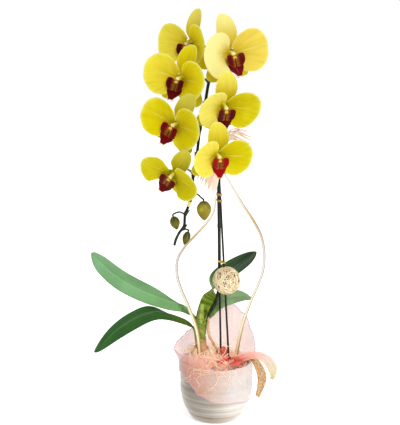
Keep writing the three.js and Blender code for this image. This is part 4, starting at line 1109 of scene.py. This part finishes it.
def make_spike():
    form = Form()
    share = shares_of(len(SPIKE_LINE))
    apart = (np.linalg.norm(SPIKE_LINE - spike_at(z), axis=1) for z in COLLAR_HEIGHTS)
    swelling = sum(hump(distance, 3.2) for distance in apart)
    lower_nodes = sum(hump(SPIKE_LINE[:, 2], 3.0, z) * (share < 0.5) for z in UPRIGHT_NODES)
    radius = lerp(*SPIKE_RADII, share**1.5) + 0.9 * np.minimum(swelling, 1.3) + 0.5 * lower_nodes
    form.tube(SPIKE_LINE, radius, 18, 0.2)
    for bloom in BLOOMS.values():
        add_flower_stalk(form, bloom)
    for height in COLLAR_HEIGHTS:
        add_bract(form, height)
    for bud in BUDS.values():
        top, tip = np.array(bud["stalk"][-1], float), np.array(bud["tip"], float)
        bend = top - unit(tip - top) * 2.5
        form.tube(evenly([*bud["stalk"][:-1], bend, top], 30), 1.25, 12, 0.45)
    cream_tie = evenly([spike_at(z) for z in (376, 373, 370)], 14)
    form.tube(cream_tie, 2.75, 16, 0.9, 1, along=np.full(14, 0.9))
    looks = [spike_look(), column_look()]
    form.build("spike_and_stalks", "spike_skin", looks, ["flower_spike"], sharp=60)


def make_buds():
    """Plump closed buds, with the three shallow seams where their sepals meet."""
    look = bud_look()
    share, turn = shares_of(44)[:, None], circle(48)[None]
    for name, bud in BUDS.items():
        top, tip = np.array(bud["stalk"][-1], float), np.array(bud["tip"], float)
        start = top + unit(tip - top) * 0.35
        swell = bud["radius"] * sin(pi * (0.06 + 0.94 * share) ** 0.85).clip(0) ** 0.8
        seam = 0.06 * hump(sin(1.5 * turn + 0.4), 0.22) * sin(pi * share)
        radius = 0.45 + swell * (1 - seam + 0.03 * cos(3 * turn + 0.8))
        form = Form()
        form.skin(rings_round(lerp(start, tip, share), radius, turn), share[:, 0], bud["tone"])
        form.build(name + "_sepals", "bud", [look], [name], sharp=70)


# ---------------------------------------------------------------- stakes and ties

STAKE_RADIUS = 1.6
STAKES = {
    "stake_right": ((23, -16, 60), (4.2, -6, 404)),
    "stake_left": ((9, 0, 60), (2.2, -0.5, 392)),
}


def make_stakes():
    look = stake_look()
    share = shares_of(60)
    end = np.minimum(1, 0.15 + 30 * np.minimum(share, 1 - share))
    for name, (foot, tip) in STAKES.items():
        form = Form()
        line = lerp(np.array(foot, float), np.array(tip, float), share[:, None])
        form.tube(line, STAKE_RADIUS * end + 0.05 * sin(70 * share), 20)
        form.build(name + "_rod", "stake", [look], [name], sharp=60)


def rods_at(z, with_spike):
    """The centre and radius of each rod that a tie binds at a height."""
    found = []
    for foot, tip in STAKES.values():
        foot, tip = np.array(foot, float), np.array(tip, float)
        found.append((lerp(foot, tip, (z - foot[2]) / (tip[2] - foot[2]))[:2], STAKE_RADIUS))
    if with_spike:
        found.append((at_height(SPIKE_LINE[:SPIKE_TOP], z)[:2], SPIKE_RADII[0] - 0.1))
    return found


def make_tie(name, with_spike, turns, cord_radius, slot, look):
    """Turns of thin cord drawn round the rods, inside the height of the tie's CAD band."""
    low, high = box_mm(name)
    share = shares_of(40 * turns)
    height = lerp(low[2] + cord_radius, high[2] - cord_radius, share)
    line = []
    for turn, z in zip(2 * pi * turns * share, height):
        direction = np.array([cos(turn), sin(turn)])
        rods = rods_at(z, with_spike)
        centre, radius = max(rods, key=lambda rod: rod[0] @ direction + rod[1])
        line.append([*(centre + direction * (radius + 0.12 + cord_radius)), z])
    form = Form()
    form.tube(through(line, shares_of(2 * len(share))), cord_radius, 10)
    form.build(name + "_cord", slot, [look], [name])


def make_ties():
    gold = tie_look("gold_cord", (0.3, 120, 82, 34), (0.7, 222, 176, 96))
    yellow = tie_look("yellow_cord", (0.3, 176, 140, 20), (0.7, 244, 214, 60))
    make_tie("tie_top", True, 4, 0.55, "tie_gold", gold)
    make_tie("tie_upper", True, 4, 0.5, "tie_gold", gold)
    make_tie("tie_middle", False, 3, 0.6, "tie_yellow", yellow)


# ---------------------------------------------------------------- organza wrap

WRAP_EDGES = [  # angle round the pot, top height, outward lean above the rim, bottom height
    (-90, 97.5, 0.8, 43), (-62, 98, 0.8, 40), (-32, 100, 1.5, 36), (0, 111, 3.5, 35),
    (24, 134, 6, 38), (46, 160, 9, 42), (66, 174, 8, 46), (88, 167, 3, 50), (112, 146, 1, 56),
    (134, 133, 2, 62), (158, 121, 6, 70), (180, 116, 8.5, 78), (202, 112, 1, 84),
    (222, 117, -6, 72), (244, 112, -9, 54), (270, 97.5, 0.8, 43),
]
WRAP_GAP = 1.2
WRAP_THICKNESS = 0.35
WRAP_BEND = 1.2
WRAP_GRID = (56, 288)
HEM_RADIUS = 0.42


def wrap_edge(column, angle):
    table = np.array(WRAP_EDGES, float)
    k = np.clip(np.searchsorted(table[:, 0], angle, side="right") - 1, 0, len(table) - 2)
    share = smoothstep(angle, table[k, 0], table[k + 1, 0])
    return lerp(table[k, column], table[k + 1, column], share)


def wrap_surface():
    share, turn = grid(*WRAP_GRID)
    angle = -90 + 359.99 * turn
    top, lean, bottom = (wrap_edge(k, angle) for k in (1, 2, 3))
    rim = np.minimum(top, POT_HEIGHT + WRAP_BEND)
    z = np.where(share < 0.5, lerp(bottom, rim, share * 2), lerp(rim, top, share * 2 - 1))
    above = np.clip((z - rim) / np.maximum(1, top - rim), 0, 1)
    a = np.radians(angle)
    pleat = 0.5 + 0.5 * sin(23 * a + 0.05 * z) * sin(9 * a + 1)
    crumple = 0.5 + 0.5 * sin(0.24 * z + 6 * a) * sin(15 * a - 0.09 * z)
    ripple = 0.5 * pleat + 0.5 * crumple + 1.6 * above * (pleat - 0.5)
    radius = pot_radius(np.minimum(z, POT_HEIGHT)) + WRAP_GAP + ripple + lean * above
    return stacked(radius * cos(a), radius * sin(a), z), share, turn


def one_face_area(surface):
    """The area of a grid of points in square metres."""
    a, b = np.diff(surface, axis=0)[:, :-1], np.diff(surface, axis=1)[:-1]
    return float(np.linalg.norm(np.cross(a, b), axis=-1).sum()) * MM * MM


def make_wrap():
    surface, share, turn = wrap_surface()
    form, hem = Form(), Form()
    rim = np.maximum(smoothstep(share, 0.975, 1.0), 0.5 * smoothstep(share, 0.02, 0.0))
    form.patch(surface, WRAP_THICKNESS, share, turn, rim=rim)
    wrap = form.build("organza_wrap_sheet", "organza", [organza_look()], ["organza_wrap"])
    for edge in (surface[-1], surface[0]):
        hem.tube(edge, HEM_RADIUS, 8)
    hems = hem.build("organza_wrap_hem", "organza", [hem_look()])


# ---------------------------------------------------------------- ribbons

RIBBON_KNOT = (21, -15.5, 99)
RIBBON_THICKNESS = 0.4
GLITTER_THICKNESS = 0.6
TAIL_GRID, LOOP_GRID, GLITTER_GRID = (80, 26), (60, 16), (70, 14)
RIBBON_TAIL = [
    (23, -20, 101), (30, -34, 105), (45, -42, 115), (60, -45, 119.5), (75, -44, 115),
    (87, -42, 102), (90.5, -41, 87), (89, -41, 77),
]
RIBBON_LOOPS = [
    [(18, -18, 100), (9, -29, 104), (2, -38, 107), (9, -44, 109), (15, -35, 105), (18, -22, 101)],
    [(17, -12, 101), (8, -10, 107), (4, -10, 114), (10, -11, 118), (15, -11, 112), (18, -11, 103)],
    [(24, -20, 100), (24, -34, 103), (28, -46, 106), (37, -47, 106), (37, -36, 104),
     (29, -23, 100)],
]
GLITTER_PATH = [
    (38, -19, 88.5), (41, -21, 98), (49.5, -26.5, 110.5), (61, -31.15, 106.1), (70, -34.5, 92),
    (73.5, -36, 78), (71, -35, 61), (66.5, -33, 45),
]


def leaning(start, change=(0, 0, 0)):
    """A direction that changes evenly along a ribbon."""
    return lambda u: np.array(start) + np.array(change) * u[:, None]


def add_band(form, points, half_width, across_axis, size, thickness, waves, rim_from=None,
             paint_along=lambda u: u, tone=0.5):
    """A ribbon along a curve, with soft lengthwise folds. Gives the area of one face in square
    metres. size is its rows and columns, and rim_from is where its painted margin starts."""
    along, across = grid(*size)
    share = along[:, 0]
    line = evenly(points, len(share))
    tangent = unit(np.gradient(line, axis=0))
    axis = across_axis(share)
    axis = unit(axis - tangent * np.sum(axis * tangent, 1, keepdims=True))
    up = np.cross(tangent, axis)
    v = 2 * across - 1
    fold = waves * sin(8 * v + 3 * along) * sin(pi * np.clip(along * 1.1, 0, 1))
    fold = fold + 0.5 * waves * sin(19 * v)
    spread = v * (half_width(share) + 0 * share)[:, None]
    surface = line[:, None] + combined((spread, axis[:, None]), (fold, up[:, None]))
    rim = 0.0 if rim_from is None else at_sides(across, rim_from)
    form.patch(surface, thickness, paint_along(along), across, tone, rim)
    return one_face_area(surface)


def tail_half_width(u):
    swell = 7 * sin(pi * np.clip(0.16 + 0.76 * u, 0, 1))
    return 5.5 + swell - 4.5 * smoothstep(u, 0.8, 1.0)


def glitter_half_width(u):
    return 3.2 + 4.2 * sin(pi * (0.06 + 0.88 * u)) + 2.2 * hump(u, 0.2, 0.62)


def make_coral_ribbon():
    look = ribbon_look()
    form, bow = Form(), Form()
    tail_axis = leaning((-0.2, -0.5, 0.85), (1.1, 0, -0.75))
    tail_area = add_band(
        form, RIBBON_TAIL, tail_half_width, tail_axis, TAIL_GRID, RIBBON_THICKNESS, 0.8, 0.9
    )
    ribbon = form.build("coral_ribbon_tail", "coral", [look], ["coral_ribbon"])
    loop_axis = leaning((0.9, 0.5, 0.1), (0, 0, 0.2))
    bow_area = sum(
        add_band(bow, points, lambda u: 5.5, loop_axis, LOOP_GRID, RIBBON_THICKNESS, 0.5,
                 paint_along=lambda u: 0.16 * sin(pi * u))
        for points in RIBBON_LOOPS
    )
    turn = np.linspace(0.03, pi - 0.03, 26)
    knot = np.array(RIBBON_KNOT) + stacked(0, -6.4 * cos(turn), 0)
    pinch = 6.2 * sin(turn) * (1 - 0.12 * cos(9 * turn))
    bow.tube(knot, pinch, 36, along=0 * turn)
    bows = bow.build("coral_ribbon_bow", "coral", [look])


def make_glitter_ribbon():
    form = Form()
    axis = leaning((0.75, -0.62, 0.22))
    area = add_band(
        form, GLITTER_PATH, glitter_half_width, axis, GLITTER_GRID, GLITTER_THICKNESS, 0.35, 0.86
    )
    ribbon = form.build("glitter_ribbon_tail", "glitter", [glitter_look()], ["glitter_ribbon"])


# ---------------------------------------------------------------- strips, ball, sisal and straw

STRIPS = {
    "cane_strip_left": [
        (-21, -17, 66), (-25, -19, 105), (-31, -21, 152), (-44, -26, 192), (-57, -28, 225),
        (-62.5, -28, 248), (-61, -27, 272), (-49, -25, 292), (-34, -22, 308), (-18, -19, 325),
        (-5, -16, 345), (-1.5, -12, 372),
    ],
    "cane_strip_right": [
        (28, -12, 66), (32.5, -12, 105), (42, -17, 158), (54, -20, 197), (66, -20, 226),
        (74, -20, 250), (76, -20, 275), (71, -20, 306), (58, -19, 332), (42, -18, 356),
        (26, -16, 382), (13, -12, 404),
    ],
}
STRIP_THICKNESS = 0.8
STRIP_GRID = (170, 8)
BALL_LOOPS = 44
CANE_SECTION = [(-1, 0.0), (-0.6, 0.35), (0.6, 0.35), (1, 0.0), (0.6, -0.35), (-0.6, -0.35)]
SISAL_FIBRES = 640
SISAL_WISPS = 38
STRAW_KNOT = np.array([4.5, 0.0, 442.0])
STRAW_FIELDS = ("count", "centre", "spread", "root", "bend", "across", "width")
STRAW_SPRAYS = [
    (24, (52, -20, 16), (1, 4, 15), 9, (-5, 2, 17), (0.3, -0.3, 1), 0.6),
    (15, (-26, -40, -57), (17, 3, -17), -8, (0, -4, 4), (0.8, -0.1, -0.6), 2.4),
    (7, (-22, 12, 4), (-3, 6, 8), 4, (0, 2, 4), (0.3, -0.3, 1), 1.4),
]
STRAW_WINDINGS = 9
STRAW_GRID = (14, 2)
STRAW_THICKNESS = 0.35


def strip_axis(u):
    """Across a strip, which turns from 5 to 35 degrees and back on its way round."""
    turn = np.radians(5 + 30 * sin(pi * u))
    return stacked(cos(turn), sin(turn), 0.2)


def strip_half_width(u):
    return 3.2 - 1.4 * u


def make_strips():
    look = strip_look()
    for name, points in STRIPS.items():
        form = Form()
        add_band(
            form, points, strip_half_width, strip_axis, STRIP_GRID, STRIP_THICKNESS, 0.06, 0.7
        )
        form.build(name + "_band", "cane", [look], [name], sharp=60)


def cane_loop(centre, radius, turn):
    """A flat split cane round the ball, bent in and out between the others."""
    axis = unit(rng.normal(size=3))
    first = unit(np.cross(axis, [0.3, 0.9, 0.2]))
    tilt = rng.uniform(-0.32, 0.32)
    lift = radius - 0.5 + 0.55 * sin(turn * rng.integers(5, 9) + rng.uniform(0, 6))
    around = combined((cos(turn), first), (sin(turn), np.cross(axis, first)))
    direction = unit(around * cos(tilt) + axis * sin(tilt))
    line = centre + direction * lift[:, None]
    width_axis = unit(np.cross(direction, np.gradient(line, axis=0))) * rng.uniform(0.5, 0.9)
    return np.stack([line + width_axis * a + direction * b for a, b in CANE_SECTION], axis=1)


def make_ball():
    """Loops of thin split rattan woven over and under each other into a ball."""
    low, high = box_mm("rattan_ball")
    centre, radius = (low + high) / 2, (high[2] - low[2]) / 2 - 0.9
    turn = circle(84)
    sides = len(CANE_SECTION)
    index = np.arange(len(turn) * sides).reshape(-1, sides)
    after, side = np.roll(index, -1, axis=0), np.roll(index, -1, axis=1)
    faces = np.stack([index, after, np.roll(after, -1, axis=1), side], -1).reshape(-1, 4)
    form = Form()
    for _ in range(BALL_LOOPS):
        rings = cane_loop(centre, radius, turn)
        where = stacked((turn / 6.3)[:, None], np.arange(sides) / sides, rng.uniform(0.0, 1.0))
        form.add(rings, [faces], where, 0.0)
    form.build("rattan_ball_weave", "rattan", [rattan_look()], ["rattan_ball"], sharp=70)


def fibre_line(start, end, arch, curl):
    """A loose curly fibre that drifts from start to end and arches up on the way."""
    share = shares_of(26)
    phase, rate = rng.uniform(0, 6.3, 3), rng.uniform(4, 11, 3)
    wander = sin(rate * share[:, None] + phase) * curl * share[:, None] ** 0.5
    rise = stacked(0, 0, arch * sin(pi * share))
    return lerp(np.array(start), np.array(end), share[:, None]) + rise + wander


def add_fibre(form, inner, base):
    """One fibre of the mat, kept inside the pot and above the bark. It lies higher at the
    front and left, and is pinker near the bow."""
    angle = rng.uniform(0, 2 * pi)
    front = max(0.0, cos(angle + pi / 2))
    left = max(0.0, cos(angle - math.radians(165)))
    spread = inner * math.sqrt(rng.uniform(0.03, 1.0))
    heap = rng.uniform(0, 9 + 4 * front + 8 * left)
    start = np.array([spread * cos(angle), spread * sin(angle), base + heap])
    sweep = angle + rng.choice([-1, 1]) * rng.uniform(0.3, 1.3)
    spread = inner * math.sqrt(rng.uniform(0.03, 1.0))
    height = start[2] + rng.uniform(-2, 4)
    end = np.array([spread * cos(sweep), spread * sin(sweep), height])
    arch = rng.uniform(1, 6 + 15 * front + 8 * left)
    line = fibre_line(start, end, arch, rng.uniform(1.5, 4.5))
    line[:, :2] *= np.minimum(1, inner / np.hypot(line[:, 0], line[:, 1]))[:, None]
    line[:, 2] = np.maximum(line[:, 2], base)
    near_bow = math.exp(-math.hypot(start[0] - 18, start[1] + 18) / 22)
    warmth = np.clip(rng.normal(0.3, 0.28) + 0.6 * near_bow - 0.3 * left, 0, 1)
    form.tube(line, rng.uniform(0.28, 0.5), 4, warmth)


def add_wisp(form):
    """One fine fibre that curls over the rim and down the front of the wrap."""
    rim = POT_RIM_RADIUS + 2.6
    angle = math.radians(rng.uniform(-128, -58))
    fall = 40 * rng.uniform(0.25, 1) ** 2
    slide = rng.uniform(-0.6, 0.6)
    curl, phase = rng.uniform(2.0, 7.0), rng.uniform(0, 6.3)
    share = shares_of(26)
    reach = lerp(rim - 10, rim + 0.5, smoothstep(share, 0.0, 0.22)) + 1.0 * share
    wave = curl / rim * sin(rng.uniform(5, 11) * share + phase)
    turn = angle + slide * share**1.3 + wave
    drop = fall * smoothstep(share, 0.12, 1.0) - 0.8 * sin(9 * share + phase)
    line = stacked(reach * cos(turn), reach * sin(turn), POT_HEIGHT + 2.2 - drop)
    form.tube(line, rng.uniform(0.1, 0.17), 4, float(np.clip(rng.normal(0.45, 0.25), 0, 1)))


def make_sisal():
    """A loose mat of curly fibres that fills the pot to its rim, with wisps over the front."""
    form = Form()
    base = box_mm("sisal_tuft")[0][2] + 1
    for _ in range(SISAL_FIBRES):
        add_fibre(form, POT_RIM_RADIUS - POT_WALL - 1.2, base)
    for _ in range(SISAL_WISPS):
        add_wisp(form)
    form.build("sisal_fibres", "sisal", [sisal_look()], ["sisal_tuft"])


def add_straw(form, share, spray):
    """One blade of a spray, from the knot out to its tip."""
    reach = rng.uniform(0.82, 1.02)
    tip = np.array(spray["centre"]) + share * np.array(spray["spread"])
    tip = STRAW_KNOT + reach * tip + rng.normal(size=3) * 0.9
    start = STRAW_KNOT + [0, 0, spray["root"] * share]
    fan = np.array([0, 0, 3 * share])
    middle = lerp(start, tip, 0.5) + spray["bend"] - fan + rng.normal(size=3)
    width = spray["width"] * rng.uniform(0.6, 1.3)

    def half_width(u):
        return 0.15 + width * sin(pi * (0.08 + 0.9 * u))

    add_band(form, [start, middle, tip], half_width, leaning(spray["across"]), STRAW_GRID,
             STRAW_THICKNESS, 0.0, tone=rng.uniform(0, 1))


def make_straw_bow():
    form = Form()
    for row in STRAW_SPRAYS:
        spray = dict(zip(STRAW_FIELDS, row))
        for share in np.linspace(-1, 1, spray["count"]):
            add_straw(form, share, spray)
    turn = np.linspace(0, 2 * pi, 40)
    for k in range(STRAW_WINDINGS):
        level = STRAW_KNOT[2] - 11.2 + 2.8 * k
        line = stacked(5 + 4.6 * cos(turn), 4.2 * sin(turn) + 2.2, level + 1.4 * turn / 6.3)
        form.tube(line, 1.5, 8, 0.5 + 0.08 * k, flatness=0.6)
    form.build("straw_bow_blades", "straw", [straw_look()], ["straw_bow"])


# ---------------------------------------------------------------- floor, light and camera

FLOOR_RADIUS = 6  # metres
SKY_SEEN, SKY_LIGHT = 1.0, 0.46  # how bright the surround looks, and how much light it gives
PHOTO_HEIGHT = 425
FOCAL_PIXELS = 956
CAMERA_TILT = 10.27  # degrees below the horizon


def placed(name, data):
    """A new object of the scene, which isn't part of the plant."""
    made = bpy.data.objects.new(name, data)
    bpy.context.scene.collection.objects.link(made)
    return made


def make_floor():
    mesh = bpy.data.meshes.new("floor")
    turn = circle(96)
    outline = stacked(FLOOR_RADIUS * cos(turn), FLOOR_RADIUS * sin(turn), -0.0004)
    mesh.from_pydata(outline.tolist(), [], [list(range(len(turn)))])
    mesh.materials.append(floor_look())
    placed("floor", mesh)


def make_sun(name, toward, strength, softness, colour=(1, 1, 1)):
    """A soft sun that shines from a direction towards the plant."""
    data = bpy.data.lights.new(name, "SUN")
    data.energy, data.angle, data.color = strength, math.radians(softness), colour
    light = placed(name, data)
    light.location = toward
    light.rotation_euler = light.location.to_track_quat("Z", "Y").to_euler()


def make_light():
    """A white surround that the camera sees at full strength, and a key from the upper right."""
    world = bpy.data.worlds.new("studio")
    bpy.context.scene.world = world
    world.use_nodes = True
    nodes, links = world.node_tree.nodes, world.node_tree.links
    ray = nodes.new("ShaderNodeLightPath")
    share = nodes.new("ShaderNodeMapRange")
    share.inputs["To Min"].default_value = SKY_LIGHT
    share.inputs["To Max"].default_value = SKY_SEEN
    links.new(ray.outputs["Is Camera Ray"], share.inputs["Value"])
    background = nodes["Background"]
    background.inputs["Color"].default_value = (1, 1, 1, 1)
    links.new(share.outputs[0], background.inputs["Strength"])
    make_sun("key", (0.75, -1.4, 1.3), 2.0, 24, (1, 0.99, 0.96))
    make_sun("back", (-0.9, 1.2, 1.4), 0.5, 30)
    bpy.context.scene.view_settings.view_transform = "Standard"


def make_camera():
    data = bpy.data.cameras.new("camera")
    data.sensor_width = 36
    data.lens = FOCAL_PIXELS / PHOTO_HEIGHT * data.sensor_width
    data.clip_start, data.clip_end = 0.05, 50
    camera = placed("camera", data)
    camera.location = (-0.026, -1.5, 0.613)
    camera.rotation_euler = (math.radians(90 - CAMERA_TILT), 0, 0)
    bpy.context.scene.camera = camera


make_camera()
make_pot()
make_medium()
make_stem()
make_roots()
for leaf_name, leaf in LEAVES.items():
    make_leaf(leaf_name, **leaf)
make_blooms()
make_spike()
make_buds()
make_stakes()
make_ties()
make_wrap()
make_coral_ribbon()
make_glitter_ribbon()
make_strips()
make_ball()
make_sisal()
make_straw_bow()
make_floor()
make_light()
